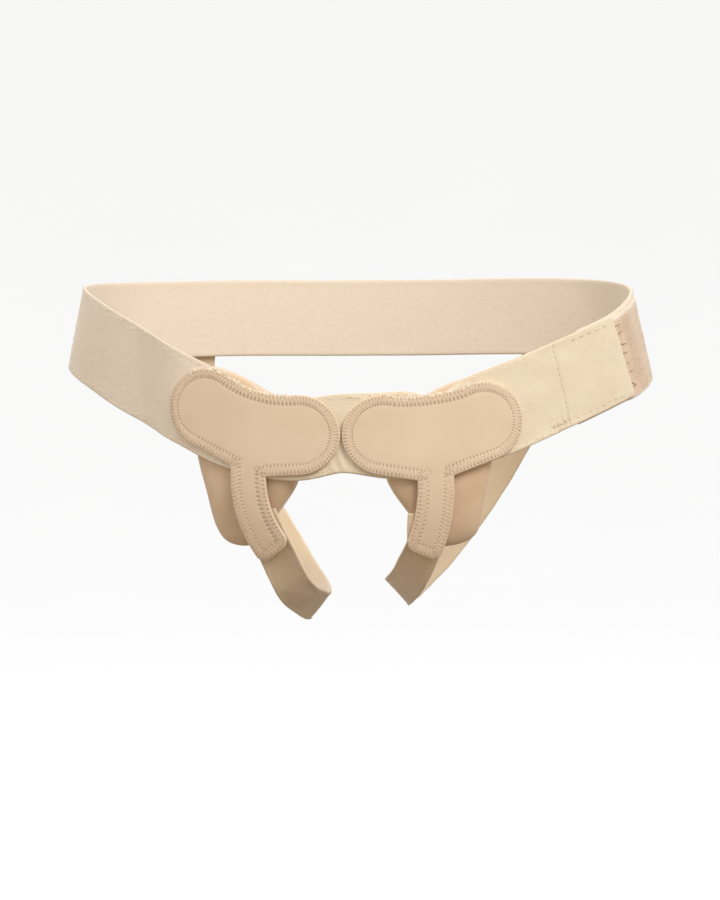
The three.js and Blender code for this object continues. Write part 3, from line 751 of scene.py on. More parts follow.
def stage_material():
    cloth = Cloth("sweep_paper", 0.9, 0.0)
    cloth.shader.inputs["Emission Color"].default_value = (1, 1, 1, 1)
    cloth.shader.inputs["Emission Strength"].default_value = FLOOR_GLOW
    return cloth.finish(cloth.mix(cloth.noise(cloth.place(), PER_MM, 0.004), *FLOOR_TONES))


NAPPED, WOVEN, TAB, LAMINATE = napped_material(), woven_material(), tab_material(), laminate_material()
PAD = pad_material()
STRAP = strap_material("strap_elastic_cloth", STRAP_TONES, 0.8)
STRAP_TAB = strap_material("strap_tab_cloth", STRAP_TAB_TONES, 1.4)
THREAD = thread_material("cover_thread", COVER_TONES)
SEAM_THREAD = thread_material("seam_thread", SEAM_TONES)
TICK_THREAD = thread_material("tick_thread", TICK_TONES)
NAP = fibre_material("nap_fibre", NAP_TONES)
PILL = fibre_material("pilling_fibre", PILL_TONES)
SOFT_NAP = fibre_material("soft_fibre", SOFT_NAP_TONES)


def dress(piece, material, replaces=()):
    piece.data.materials.append(material)
    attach(piece, "root")
    if replaces:
        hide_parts(*replaces)
    return piece


# Camera, lights and floor

VIEW_AZIMUTH, VIEW_DISTANCE, EYE_HEIGHT, EYE_SHIFT = math.radians(4.2), 2.5, -0.0103, 0.0018
VIEW_LENS, FILM_WIDTH, VIEW_RANGE = 167.8, 36, (0.05, 60)
FLOOR_HEIGHT, FLOOR_RADIUS, SWEEP_RADIUS, WALL_TOP = -300, 4.0, 2.0, 4.5
FLOOR_RINGS, SWEEP_RINGS, FLOOR_SPOKES = 8, 16, 96
SKY_STRENGTH, SKY_WHITENESS = (-1, 1, 0.17, 0.98), (-0.7, 0.5, 0, 1)  # from and to, by the way looked up
WARM, WHITE = (1, 0.78, 0.52, 1), (1, 1, 1, 1)
LIGHTS = (("key", (1.6, -1.9, 1.9), 1.5, 53), ("fill", (-2.1, -1.2, 0.6), 1.6, 8),
          ("rear", (-0.9, 2.2, 1.1), 1.6, 20))  # place in metres, size and power


def add_camera():
    data = bpy.data.cameras.new("camera")
    data.lens, data.sensor_width, data.sensor_fit = VIEW_LENS, FILM_WIDTH, "AUTO"
    data.clip_start, data.clip_end = VIEW_RANGE
    camera = bpy.data.objects.new("camera", data)
    sin, cos = math.sin(VIEW_AZIMUTH), math.cos(VIEW_AZIMUTH)
    camera.location = (sin * VIEW_DISTANCE + cos * EYE_SHIFT, -cos * VIEW_DISTANCE + sin * EYE_SHIFT,
                       EYE_HEIGHT)
    camera.rotation_euler = (math.pi / 2, 0, VIEW_AZIMUTH)
    bpy.context.scene.collection.objects.link(camera)
    bpy.context.scene.camera = camera


def add_light(name, place, size, power):
    """A round lamp that looks at the frame's origin."""
    data = bpy.data.lights.new(name, "AREA")
    data.shape, data.size, data.energy = "DISK", size, power
    light = bpy.data.objects.new(name, data)
    light.location = place
    out, back, up = place
    light.rotation_euler = (math.atan2(math.hypot(out, back), up), 0, math.atan2(out, -back))
    light.visible_camera = False
    bpy.context.scene.collection.objects.link(light)


def add_floor():
    """A round pale floor that sweeps up into a wall all round."""
    rise = np.linspace(0, np.pi / 2, SWEEP_RINGS + 1)[1:]
    radii = [*np.linspace(0.5, FLOOR_RADIUS, FLOOR_RINGS), *(FLOOR_RADIUS + SWEEP_RADIUS * np.sin(rise)),
             FLOOR_RADIUS + SWEEP_RADIUS]
    heights = [*np.zeros(FLOOR_RINGS), *(SWEEP_RADIUS - SWEEP_RADIUS * np.cos(rise)), WALL_TOP]
    turn = np.arange(FLOOR_SPOKES) / FLOOR_SPOKES * 2 * np.pi
    rows = [np.stack([r * np.cos(turn), r * np.sin(turn), np.full(FLOOR_SPOKES, h)], -1)
            for r, h in zip(radii, heights)]
    points = np.vstack([[[0, 0, 0]], *rows]) * 1000 + [0, 0, FLOOR_HEIGHT]
    around = [(k, (k + 1) % FLOOR_SPOKES) for k in range(FLOOR_SPOKES)]
    faces = [[0, 1 + k, 1 + after] for k, after in around]
    for row in range(len(rows) - 1):
        a, b = 1 + row * FLOOR_SPOKES, 1 + (row + 1) * FLOOR_SPOKES
        faces += [[a + k, b + k, b + after, a + after] for k, after in around]
    floor = build("floor", points, faces)
    floor.data.flip_normals()
    floor.data.materials.append(stage_material())
    floor.visible_diffuse = False  # so that its brightness doesn't light the belt from below


def add_world():
    """Studio light all round: white from above, dim and warm from below."""
    world = bpy.data.worlds.new("studio")
    world.use_nodes = True
    tree = world.node_tree
    background = tree.nodes["Background"]
    direction, split, strength, whiteness, tint = (tree.nodes.new(f"ShaderNode{kind}") for kind in (
        "TexCoord", "SeparateXYZ", "MapRange", "MapRange", "Mix"))
    tint.data_type = "RGBA"
    tree.links.new(direction.outputs["Generated"], split.inputs[0])
    for node, values in ((strength, SKY_STRENGTH), (whiteness, SKY_WHITENESS)):
        tree.links.new(split.outputs["Z"], node.inputs["Value"])
        for key, value in zip(("From Min", "From Max", "To Min", "To Max"), values):
            node.inputs[key].default_value = value
    tree.links.new(whiteness.outputs[0], tint.inputs[0])
    tint.inputs[6].default_value = WARM
    tint.inputs[7].default_value = WHITE
    tree.links.new(strength.outputs[0], background.inputs["Strength"])
    tree.links.new(tint.outputs[2], background.inputs["Color"])
    bpy.context.scene.world = world
    bpy.context.scene.view_settings.view_transform = "Standard"


# Bands

WAIST_START, WAIST_END = WAIST_BAND_END - 2 * HALF_GIRTH, JOIN_ARC - GAP / 2
FRONT_START, FRONT_END = JOIN_ARC + GAP / 2, FRONT_BAND_END
SELVAGE, PILL_INSET = 2.6, 2.3  # the groove beside a band's rim and the pilling there, from the edge
SELVAGE_DEPTH = 0.3
UPPER_DIP, DIP_ARC, DIP_REACH = 6, 56, 13
TAB_DRAW_IN = 0.9
SEAM_DEPTH, SEAM_SWELL, SEAM_SHADE = 0.3, 0.1, 0.12
PUCKER_HEIGHT, FOOT_HEIGHT, LAP_RISE, TAB_STEP_HEIGHT = 0.4, 0.45, 0.25, 0.14
NAP_INSET, TUFT_RISE, TUFT_LEAN = 0.35, (0.3, 0.95), 0.4  # shares of the wall, and of the outward way
PROBE = 0.5  # a short step that tells a direction
TAB_NAP_START, FRONT_PILLS_END = 176, 120


def waist_place(along, across, rise):
    return band_place(along, across, rise, lambda arc: band_lift(arc, 0.0))


def front_place(along, across, rise):
    """The front band's upper edge dips behind the left patch, where the pad looks over it."""
    dip = UPPER_DIP * bell(along - DIP_ARC, DIP_REACH) * smooth(across, 4, 24)
    return band_place(along, across - dip, rise, front_lift)


def tab_place(along, across, rise):
    """The tab's hidden end draws in a little at its lower edge."""
    raised = TAB_DRAW_IN * smooth(-across, 12, 24) * smooth(along, 176, 168)
    return band_place(along, across + raised, rise, lambda arc: TAB_LIFT, TAB_DROP)


def half_tab(along):
    return np.full(along.shape, TAB_WIDTH / 2)


def off_seam(along, across):
    """Distance along the band from its straight seam."""
    share = (across - SEAM_TOP[1]) / (SEAM_FOOT[1] - SEAM_TOP[1])
    return along - lerp(SEAM_TOP[0], SEAM_FOOT[0], share)


def waist_relief(along, across, edge):
    body = lumps(along, across, (0.2, 18, 3), (0.04, 4, 4))
    return body * smooth(edge, 0.5, 5) - SELVAGE_DEPTH * bell(edge - SELVAGE, 0.6)


def front_relief(along, across, edge):
    """Low waves, puckers between the patches, the seam's groove with its gathered foot, and the loose end."""
    wave = lumps(along * 0.6, across, (0.28, 11, 8)) + lumps(along, across, (0.1, 4, 9))
    centre = bell(along + 1, 9) * bell(across + 17, 9)
    pucker = PUCKER_HEIGHT * centre * np.sin((along * 0.85 + across * 0.25) * 0.9)
    seam = off_seam(along, across)
    groove = SEAM_SWELL * (bell(seam - 2.2, 1.4) + bell(seam + 2.2, 1.4)) - SEAM_DEPTH * bell(seam, 0.5)
    foot = FOOT_HEIGHT * bell(seam + 4, 6) * smooth(-across, 14, 22) * np.sin(along * 1.7)
    lap = LAP_RISE * smooth(along, 166, FRONT_END)
    return (wave + pucker + foot) * smooth(edge, 0.3, 4) + groove + lap


def front_mark(along, across):
    return SEAM_SHADE * bell(off_seam(along, across), 0.5)


def tab_relief(along, across, edge):
    steps = TAB_STEP_HEIGHT * (smooth(along, 191.5, 195) - smooth(along, 181.5, 184))
    return steps + 0.2 * noise(along, across, 7, 21) * smooth(edge, 0.3, 3)


def strip_nap(name, place, start, end, half_at, wall, relief, faces, edges, length, seed, material):
    """Nap on a strip's outer face and longer tufts along its edges."""
    rng = np.random.default_rng(seed)
    along = rng.uniform(start + 1, end - 1, faces + edges)
    half = half_at(along)
    share = np.concatenate([rng.uniform(-1, 1, faces), rng.choice([-1.0, 1.0], edges)])
    across = share * (half - wall * NAP_INSET)
    rise = wall + relief(along, across, half - np.abs(across))
    rise[faces:] = rng.uniform(*TUFT_RISE, edges) * wall
    roots = place(along, across, rise)
    grain = unit(place(along + PROBE, across, rise) - roots)
    outs = unit(place(along, across, rise + PROBE) - roots)
    edge_out = unit(place(along, across + share * PROBE, rise) - roots)
    outs[faces:] = unit(outs[faces:] * TUFT_LEAN + edge_out[faces:])
    return dress(fibres(name, roots, outs, grain, length, seed), material)


# Stitches

LOOP_STEPS, LOOP_SIZES, LOOP_TURNS, LOOP_FLATNESS = 8, (0.35, 0.95), (2.0, 4.6), 0.6
LOOP_RISE, LOOP_DIP = 0.5, 0.15  # in sizes of the loop
STITCH_STEPS, STITCH_RISE, STITCH_DIP = 7, 0.9, 1.6  # the last two in radii of the thread


def arch(steps, rise, dip):
    """Heights along a stitch: it dips into the cloth at both ends."""
    return lerp(-dip, rise, np.sin(np.pi * np.linspace(0, 1, steps)) ** 0.6)[None]


def thread_piece(name, place, along, across, rise, radius, material):
    """A piece of threads that follow flat places at those heights above the cloth's inner face."""
    paths = place(along, across, rise)
    outs = unit(place(along, across, rise + 1) - paths)
    return dress(tubes(name, paths, outs, radius), material)


def loose_loops(name, place, line, surface, count, spread, radius, seed, material):
    """Small pulled threads that lie about a flat line, on a surface at that height."""
    rng = np.random.default_rng(seed)
    line = resample(line, 0.3)
    centre = line[rng.integers(0, len(line), count)] + rng.normal(0, spread, (count, 2))
    size = rng.uniform(*LOOP_SIZES, (count, 1))
    start = rng.uniform(0, 2 * np.pi, (count, 1))
    turn = start + np.linspace(0, 1, LOOP_STEPS)[None] * rng.uniform(*LOOP_TURNS, (count, 1))
    along = centre[:, :1] + size * np.cos(turn)
    across = centre[:, 1:] + LOOP_FLATNESS * size * np.sin(turn)
    rise = surface(along, across) + arch(LOOP_STEPS, LOOP_RISE, LOOP_DIP) * size
    return thread_piece(name, place, along, across, rise, radius, material)


def straight_stitches(name, place, line, surface, length, space, radius, seed, wander=0.15):
    """Stitches along a flat line of (along, across), on a surface at that height."""
    rng = np.random.default_rng(seed)
    line = resample(line, 0.2)
    run = run_along(line)
    starts = np.arange(0.3, run[-1] - length, length + space)
    at = starts[:, None] + np.linspace(0, length, STITCH_STEPS)[None]
    along = np.interp(at, run, line[:, 0])
    across = np.interp(at, run, line[:, 1]) + rng.normal(0, wander, (len(starts), 1))
    rise = surface(along, across) + arch(STITCH_STEPS, radius * STITCH_RISE, radius * STITCH_DIP)
    return thread_piece(name, place, along, across, rise, radius, SEAM_THREAD)


def box_line(first, last, half):
    """A closed box of stitches across a strap's end."""
    return [(first, -half), (first, half), (last, half), (last, -half), (first, -half)]


# Patches

LOBE_STEPS, SADDLE_STEPS, CORNER_STEPS, TONGUE_STEPS = (120, 90), 30, 12, 20
TONGUE_START, SADDLE_PULL = 0.15, 0.75
OUTLINE_SPACING, PATCH_SPACING = 0.6, 1.25
PATCH_RINGS = [0.2, 0.45, 0.8, 1.3, 1.9, 2.5, 3.1, 3.7, 4.3, 4.8, 5.2, 5.7, 6.2, 6.8, 7.6]
SADDLE_THREADS, SADDLE_DASHES = slice(112, 182), slice(116, 178)  # points of the run round the lobes
PATCH_RIM_SPAN, PATCH_FIELD, PATCH_LUMPS = 0.9, 0.12, 0.1
RIB_RISE, RIB_WAVE = 0.07, 0.04  # relief between the rows of a cover stitch
INNER_GROOVE, INNER_HOLE, OUTER_GROOVE = 0.04, 0.2, 0.08
COVER_STEPS, COVER_SEED, COVER_WANDER = 9, 41, (0.04, 0.12)  # wander in stitches along, and across
EDGE_REACH, EDGE_DROP, THREAD_SEAT, THREAD_FLOOR = 0.55, 0.9, 0.85, 0.35  # seat in radii of the thread


def patch_runs(side):
    """Flat outline of a patch on the left side: the runs round its lobes and round its tongue."""
    inner = np.array([PATCH_APART / 2 + LOBE_RADIUS, -LOBE_DROP])
    cos, sin = math.cos(side.tilt), math.sin(side.tilt)
    upright = math.pi / 2

    def on_bean(along, across):
        return np.stack([along * cos - across * sin, along * sin + across * cos], -1) + inner

    def lobe(centre, first, last, steps):
        angle = np.linspace(first, last, steps + 1)
        return on_bean(centre + LOBE_RADIUS * np.cos(angle), LOBE_RADIUS * np.sin(angle))

    def tangent_at(along, way):
        spread = math.acos(LOBE_RADIUS / math.hypot(along, root_across))
        return math.atan2(root_across, along) + way * spread

    root_across = -(LOBE_RADIUS + TONGUE_ROOT_DROP)
    inner_corner, outer_corner = ((TONGUE_ARC + way * TONGUE_WIDTH / 2 - inner[0] + root_across * sin) / cos
                                  for way in (-1, 1))
    left = side.saddle - LOBE_RADIUS * (1 - math.cos(SADDLE_ANGLE))
    reach = left / (SADDLE_PULL * math.sin(SADDLE_ANGLE))
    first = lobe(0, upright - SADDLE_ANGLE, upright, 1)[0]
    last = lobe(LOBE_SPACING, upright + SADDLE_ANGLE, upright, 1)[0]
    down, up = (reach * np.array([math.cos(side.tilt + angle), math.sin(side.tilt + angle)])
                for angle in (-SADDLE_ANGLE, SADDLE_ANGLE))
    t = np.linspace(0, 1, SADDLE_STEPS + 1)[:, None]
    saddle = ((1 - t) ** 3 * first + 3 * t * (1 - t) ** 2 * (first + down)
              + 3 * t * t * (1 - t) * (last - up) + t**3 * last)
    lobes = np.vstack([
        on_bean(inner_corner, root_across),
        lobe(0, tangent_at(inner_corner, -1) + 2 * math.pi, upright - SADDLE_ANGLE, LOBE_STEPS[0]),
        saddle[1:-1],
        lobe(LOBE_SPACING, upright + SADDLE_ANGLE, tangent_at(outer_corner - LOBE_SPACING, 1), LOBE_STEPS[1]),
        on_bean(outer_corner, root_across),
    ])
    root = on_bean((inner_corner + outer_corner) / 2, root_across)
    bend = np.array([TONGUE_ARC + TONGUE_BOW, TONGUE_BEND_HEIGHT])
    tip = np.array([TONGUE_ARC - side.lean, TONGUE_END_HEIGHT])

    def tongue_point(t, out, past=0.0):
        t = t[:, None]
        spot = (1 - t) ** 2 * root + 2 * t * (1 - t) * bend + t * t * tip
        down = unit(2 * (1 - t) * (bend - root) + 2 * t * (tip - bend))
        beside = np.stack([-down[:, 1], down[:, 0]], -1)
        return spot + beside * np.reshape(out, (-1, 1)) + down * np.reshape(past, (-1, 1))

    def corner(angle, way):
        straight = TONGUE_WIDTH / 2 - TONGUE_CORNER
        return tongue_point(np.ones(CORNER_STEPS), way * (straight + TONGUE_CORNER * np.cos(angle)),
                            TONGUE_CORNER * np.sin(angle))

    turn = np.linspace(0, math.pi / 2, CORNER_STEPS)
    ts = np.linspace(TONGUE_START, 1, TONGUE_STEPS)[:-1]
    tongue = np.vstack([
        lobes[-1:],
        tongue_point(ts, TONGUE_WIDTH / 2),
        corner(turn, 1),
        corner(turn[::-1], -1),
        tongue_point(ts[::-1], -TONGUE_WIDTH / 2),
        lobes[:1],
    ])
    return lobes, tongue


def sewing(run):
    """The line that a cover stitch follows past both ends of a run, its length and its number of stitches."""
    reach = INNER_ROW * 0.9
    first = run[0] + unit(run[0] - run[1]) * reach
    last = run[-1] + unit(run[-1] - run[-2]) * reach
    line = resample(np.vstack([first, run, last]), 0.4)
    total = run_along(line)[-1]
    return line, total, round(total / STITCH_PITCH)


def sewn_relief(spots, run, inward):
    """Relief of a cover stitch, and its (phase, distance, strength) for the material."""
    line, total, count = sewing(run)
    distance, place = measure(spots, line)
    distance = distance * inward
    phase = place / total * count
    wave = np.cos(2 * np.pi * phase)
    inside = (place > 0.05) & (place < total - 0.05) & (distance > -0.3)
    fade = inside * smooth(distance, INNER_ROW + 2.2, INNER_ROW + 1.0)
    share = np.clip((distance - OUTER_ROW) / (INNER_ROW - OUTER_ROW), 0, 1)
    relief = np.sin(np.pi * share) * (RIB_RISE + RIB_WAVE * wave)
    relief = relief - bell(distance - INNER_ROW, 0.6) * (INNER_GROOVE + INNER_HOLE * (0.5 + 0.5 * wave) ** 2)
    relief = relief - bell(distance - OUTER_ROW, 0.45) * OUTER_GROOVE
    return relief * fade, np.column_stack([phase, distance, fade])


def patch_top(spots, runs, loop, inward):
    """Height of a patch's outer face over its inner one, its sewing, and the distance from its edge."""
    edge = np.abs(measure(spots, loop)[0])
    rim = np.sqrt(1 - (1 - np.clip(edge / PATCH_RIM_SPAN, 0, 1)) ** 2)
    relief, sewing_at = zip(*(sewn_relief(spots, run, inward) for run in runs))
    field = PATCH_FIELD * smooth(edge, INNER_ROW, INNER_ROW + 7)
    waves = lumps(*spots.T, (PATCH_LUMPS, 9, 31)) * smooth(edge, 2, 8)
    top = PATCH_WALL * lerp(0.45, 1, rim) + np.minimum(*relief) + np.maximum(*relief) + field + waves
    return top, sewing_at, edge


def cover_stitches(name, run, inward, place, height):
    """Zigzag threads of a cover stitch, from each inner hole over the border to the edge and back."""
    rng = np.random.default_rng(COVER_SEED)
    line, total, count = sewing(run)
    at = np.linspace(0, total, len(line))
    tangent = unit(np.gradient(line, axis=0))
    normal = inward * np.stack([-tangent[:, 1], tangent[:, 0]], -1)
    t = np.linspace(0, 1, COVER_STEPS)[None]
    number = np.arange(count)
    wander, stray = (rng.normal(0, spread, (2 * count, 1)) for spread in COVER_WANDER)
    first = np.concatenate([number, number + 0.5])[:, None] + wander
    share = np.where(np.repeat([True, False], count)[:, None], t, 1 - t)
    depth = lerp(INNER_ROW, OUTER_ROW - EDGE_REACH, share) + stray * share
    run_at = (first + 0.5 * t) / count * total
    base, aim = (np.stack([np.interp(run_at, at, values[:, k]) for k in (0, 1)], -1)
                 for values in (line, normal))
    flat = base + unit(aim) * depth[..., None]
    rise = THREAD_RADIUS * (np.sin(np.pi * t) ** 0.5 - THREAD_SEAT) - EDGE_DROP * smooth(share, 0.9, 1.0)
    top = height(flat.reshape(-1, 2))[0].reshape(rise.shape)
    return thread_piece(name, place, flat[..., 0], flat[..., 1], np.maximum(top + rise, THREAD_FLOOR),
                        THREAD_RADIUS, THREAD)


def make_patch(side):
    runs = lobes, tongue = patch_runs(side)
    outline = np.vstack([resample(run, OUTLINE_SPACING)[:-1] for run in runs])
    area = signed_area(outline)
    inward = 1 if area > 0 else -1
    outline = outline[::inward]
    flat = flat_cut(outline, PATCH_RINGS, PATCH_SPACING)

    def height(spots):
        return patch_top(spots, runs, closed(outline), inward)

    def place(x, y, lift):
        arc = side.way * x
        return hip_point(arc, y, front_lift(arc) + PATCH_LIFT + lift)

    def on_band(x, y):
        return 1.3 + 0.8 * noise(x, y, 1.5, 44)

    top, sewing_at, edge = height(flat[0])
    tongue_at = sewing_at[1]
    inner_side = smooth(tongue_at[:, 0] / sewing(tongue)[2], 0.42, 0.58)
    long_at_saddle = smooth(np.abs(measure(flat[0], lobes[SADDLE_DASHES])[0]), 13, 6)
    long_on_tongue = side.long_dashes * inner_side * np.sign(tongue_at[:, 2])
    tongue_at[:, 2] *= lerp(*side.dashes, inner_side)
    patch = cut_solid(f"patch_{side.name}_cloth", flat, place, top, edge,
                      np.maximum(long_at_saddle, long_on_tongue))
    for attribute, values in zip(("sewn_lobes", "sewn_tongue"), sewing_at):
        add_layer(patch.data, attribute, "FLOAT_VECTOR", np.vstack([values, values * [1, 1, 0]]))
    dress(patch, LAMINATE, [f"patch_{side.name}"])
    threads = [cover_stitches(f"patch_{side.name}_{part}_stitch", run, inward, place, height)
               for part, run in (("lobe", lobes), ("tongue", tongue))]
    saddle = lobes[SADDLE_THREADS] + inward * np.array([0, 0.5])
    threads.append(loose_loops(f"patch_{side.name}_pulled_threads", place, saddle, on_band, count=260,
                               spread=0.7, radius=0.16, seed=45 + side.way, material=PILL))
    width, length = np.ptp(outline, axis=0) / 1000


# Pads

PAD_RINGS, PAD_SPACING = [0.4, 1.0, 1.8, 2.8, 4.0, 5.4, 7.0], 2.2
PAD_SUNK, PAD_RIM_SPAN, PAD_RIM = 0.3, 0.9, 0.72
COVER_SETTINGS = dict(
    quality=4, mass=0.1, tension_stiffness=12, compression_stiffness=12, shear_stiffness=6,
    bending_stiffness=0.4, use_pressure=True, uniform_pressure_force=4, vertex_group_mass="held",
)
SWELL_FRAMES, SWELL_LIMIT = 20, 0.9
COVERED_ROOM, OPEN_ROOM = 0.2, 0.8  # how far a pad may stand over its thickness


def pad_outline(side):
    """Closed smooth outline of a pad on the left side, in the flat."""
    out, up = PAD_OUTLINE.T
    push = side.corner * bell(np.hypot(out - 0.36, up + 0.33), 0.15)
    out, up = out + 0.75 * push, up - 0.5 * push
    up = up * PAD_HEIGHT * np.where(up > 0, side.pad_top, 1) - PAD_DROP
    knots = np.stack([PAD_ARC + out * PAD_WIDTH, up], -1)
    around = np.vstack([knots[-3:], knots, knots[:3]])
    spans = len(around) - 1
    t = np.linspace(3 / spans, (3 + len(knots)) / spans, 400)
    return resample(catmull(around, t, True), 1.5)[:-1]


def pad_crown(edge):
    margin = np.clip(edge / PAD_ROUND, 0, 1)
    return lerp(PAD_EDGE, PAD_THICKNESS, np.sqrt(1 - (1 - margin) ** 2))


def swell(flat, top, covered):
    """Cloth simulation of the pad's cover, laid flat: pressure swells it where nothing lies on it."""
    points = flat[0]
    size = len(points)
    rest = np.vstack([np.column_stack([points, top]), np.column_stack([points, 0 * top])]) / 1000
    mesh = bpy.data.meshes.new("pad_cover")
    mesh.from_pydata(rest.tolist(), [], slab_faces(flat))
    cover = bpy.data.objects.new("pad_cover", mesh)
    bpy.context.scene.collection.objects.link(cover)
    held = cover.vertex_groups.new(name="held")
    for i, share in enumerate(np.concatenate([covered, np.ones(size)])):
        held.add([i], float(share), "REPLACE")
    cloth = cover.modifiers.new("cloth", "CLOTH")
    for key, value in COVER_SETTINGS.items():
        setattr(cloth.settings, key, value)
    cloth.settings.effector_weights.gravity = 0
    cloth.collision_settings.use_collision = False
    cloth.point_cache.frame_start, cloth.point_cache.frame_end = 1, SWELL_FRAMES
    for number in range(1, SWELL_FRAMES + 1):
        bpy.context.scene.frame_set(number)
    moved = np.empty(len(rest) * 3)
    evaluated = cover.evaluated_get(bpy.context.evaluated_depsgraph_get())
    evaluated.data.vertices.foreach_get("co", moved)
    shift = (moved.reshape(-1, 3) - rest) * 1000
    bpy.data.objects.remove(cover)
    bpy.context.scene.frame_set(1)
    far = np.linalg.norm(shift, axis=1, keepdims=True)
    return (shift * np.minimum(1, SWELL_LIMIT / np.maximum(far, 1e-9)))[:size]


def make_pad(side):
    outline = pad_outline(side)
    if signed_area(outline) < 0:
        outline = outline[::-1]
    points, faces, count = flat = flat_cut(outline, PAD_RINGS, PAD_SPACING)
    edge = np.abs(measure(points, closed(outline))[0])
    rim = np.sqrt(np.clip(edge / PAD_RIM_SPAN, 0, 1))
    top = (pad_crown(edge) - PAD_SUNK) * lerp(PAD_RIM, 1, rim)
    line_height, width, _ = band_line(side.way * points[:, 0])
    covered = smooth(line_height - width / 2 - points[:, 1], 3, -3)
    shift = np.zeros((len(points), 3))
    shift = swell(flat, top, covered)
    waves = lumps(*points.T, (0.3, 15, 51), (0.12, 6, 52))
    lift = top + shift[:, 2] + waves * smooth(edge, 1, 10)
    lift = np.minimum(lift, PAD_THICKNESS + np.where(covered > 0.01, COVERED_ROOM, OPEN_ROOM))

    def place(x, y, rise):
        return hip_point(side.way * x, y, rise)

    seam = 0.8 * bell(edge - 0.2, 0.8)
    pad = cut_solid(f"pad_{side.name}_cover", (points + shift[:, :2], faces, count), place, lift, edge, seam)
    fine = pad.modifiers.new("fine", "SUBSURF")
    fine.levels = fine.render_levels = 1
    dress(pad, PAD, [f"pad_{side.name}"])


# Leg straps

STRAP_NARROWING, STRAP_WAVER, STRAP_CUP = 0.6, 0.35, 0.25
BOX_LENGTH, BOX_FROM_END, BOX_FROM_EDGE = 12, 3, 3.5  # stitches on a strap's rear end
TAB_BOX_FROM_END, TAB_BOX_FROM_EDGE = 2, 1.6


def strap_stations(side):
    """Places on a leg strap's inner face and the ways that it looks there."""
    end_arc, start_arc = TONGUE_ARC - side.lean, TONGUE_ARC - STRAP_INSET
    start_height = TONGUE_END_HEIGHT + STRAP_LAP
    height, width, _ = band_line(side.way * STRAP_REAR_ARC)
    foot = height - width / 2
    rear = BAND_WALL + GAP + STRAP_TAB_WALL + GAP
    front = [
        (start_arc, start_height, PAD_LEVEL),
        ((start_arc + end_arc) / 2, (start_height + TONGUE_END_HEIGHT) / 2, PAD_LEVEL),
        (end_arc, TONGUE_END_HEIGHT, lerp(PAD_EDGE, PAD_THICKNESS, STRAP_SINK) + GAP),
    ]
    back = [(STRAP_REAR_ARC, level, lift) for level, lift in (
        (foot - STRAP_LAND, rear + GAP), (foot + STRAP_LAND, rear), (height, rear),
        (height + STRAP_END_RISE, rear))]

    def on_hips(spots):
        for arc, level, lift in spots:
            skin, out = hip_spot(side.way * arc, level)
            yield skin + out * lift, out

    def under_crotch():
        for out, back, up, *face in LEG_ROUTE:
            shift = side.shift * float(smooth(-back, -SHIFT_REACH, SHIFT_REACH))
            level = up * CROTCH_DROP - side.sink * max(0, -up) ** 2
            place = [side.way * (out * HIP_HALF_WIDTH + shift), back * HIP_HALF_DEPTH, level]
            yield np.array(place), unit(np.array([side.way * face[0], face[1], face[2]]))

    places, faces = zip(*on_hips(front), *under_crotch(), *on_hips(back))
    return np.array(places, float), np.array(faces, float)


def strap_placer(side):
    """place(along, across, rise) for a leg strap, and its length."""
    places, faces = strap_stations(side)
    t = np.linspace(0, 1, 3001)
    run = run_along(catmull(places, t, True))

    def place(along, across, rise):
        at = np.interp(np.ravel(along), run, t)
        middle = catmull(places, at, True)
        ahead = unit(catmull(places, np.minimum(at + 1e-4, 1), True)
                     - catmull(places, np.maximum(at - 1e-4, 0), True))
        beside = unit(np.cross(catmull(faces, at, False), ahead))
        outward = np.cross(ahead, beside)
        spots = middle + beside * np.ravel(across)[:, None] + outward * np.ravel(rise)[:, None]
        return spots.reshape(*np.shape(along), 3)

    return place, float(run[-1])


def make_leg_strap(side):
    place, length = strap_placer(side)

    def half_at(along):
        waver = STRAP_WAVER * noise(along, 0 * along, 9, 61 + side.way)
        return (STRAP_WIDTH - STRAP_NARROWING + waver) / 2

    def relief(along, across, edge):
        cup = -STRAP_CUP * (across / (STRAP_WIDTH / 2)) ** 2
        waves = lumps(along, across, (0.22, 8, 63), (0.08, 3, 64))
        return (cup + waves) * smooth(edge, 0, 3)

    def surface(along, across):
        return STRAP_WALL + relief(along, across, STRAP_WIDTH / 2 - np.abs(across))

    shape = (place, 0, length, half_at, STRAP_WALL, relief)
    strap = strip(f"leg_strap_{side.name}_cloth", *shape, step=1.1, columns=22)
    dress(strap, STRAP, [f"leg_strap_{side.name}"])
    nap = strip_nap(f"leg_strap_{side.name}_nap", *shape, faces=1500, edges=3000, length=0.6,
                    seed=65 + side.way, material=SOFT_NAP)
    box = box_line(length - STRAP_TAB_MARGIN - BOX_LENGTH, length - BOX_FROM_END,
                   STRAP_WIDTH / 2 - BOX_FROM_EDGE)
    straight_stitches(f"leg_strap_{side.name}_stitch", place, box, surface, length=2.2, space=1.0,
                      radius=0.16, seed=66)


def make_strap_tab(side):
    height, width, _ = band_line(side.way * STRAP_REAR_ARC)
    top = float(height + STRAP_END_RISE + STRAP_TAB_MARGIN)
    bottom = float(height - width / 2 + STRAP_TAB_MARGIN)

    def place(along, across, rise):
        return hip_point(side.way * STRAP_REAR_ARC + across, along, BAND_WALL + GAP + rise)

    def half_at(along):
        return np.full(along.shape, STRAP_TAB_WIDTH / 2)

    def relief(along, across, edge):
        return 0.1 * noise(along, across, 5, 71) * smooth(edge, 0, 3)

    def surface(along, across):
        return np.full(along.shape, STRAP_TAB_WALL)

    tab = strip(f"strap_tab_{side.name}_cloth", place, bottom, top, half_at, STRAP_TAB_WALL, relief,
                step=1.0, columns=26)
    dress(tab, STRAP_TAB, [f"strap_tab_{side.name}"])
    box = box_line(bottom + TAB_BOX_FROM_END, top - TAB_BOX_FROM_END, STRAP_TAB_WIDTH / 2 - TAB_BOX_FROM_EDGE)
    stitches = straight_stitches(f"strap_tab_{side.name}_stitch", place, box, surface, length=2.0, space=1.0,
                                 radius=0.15, seed=72)


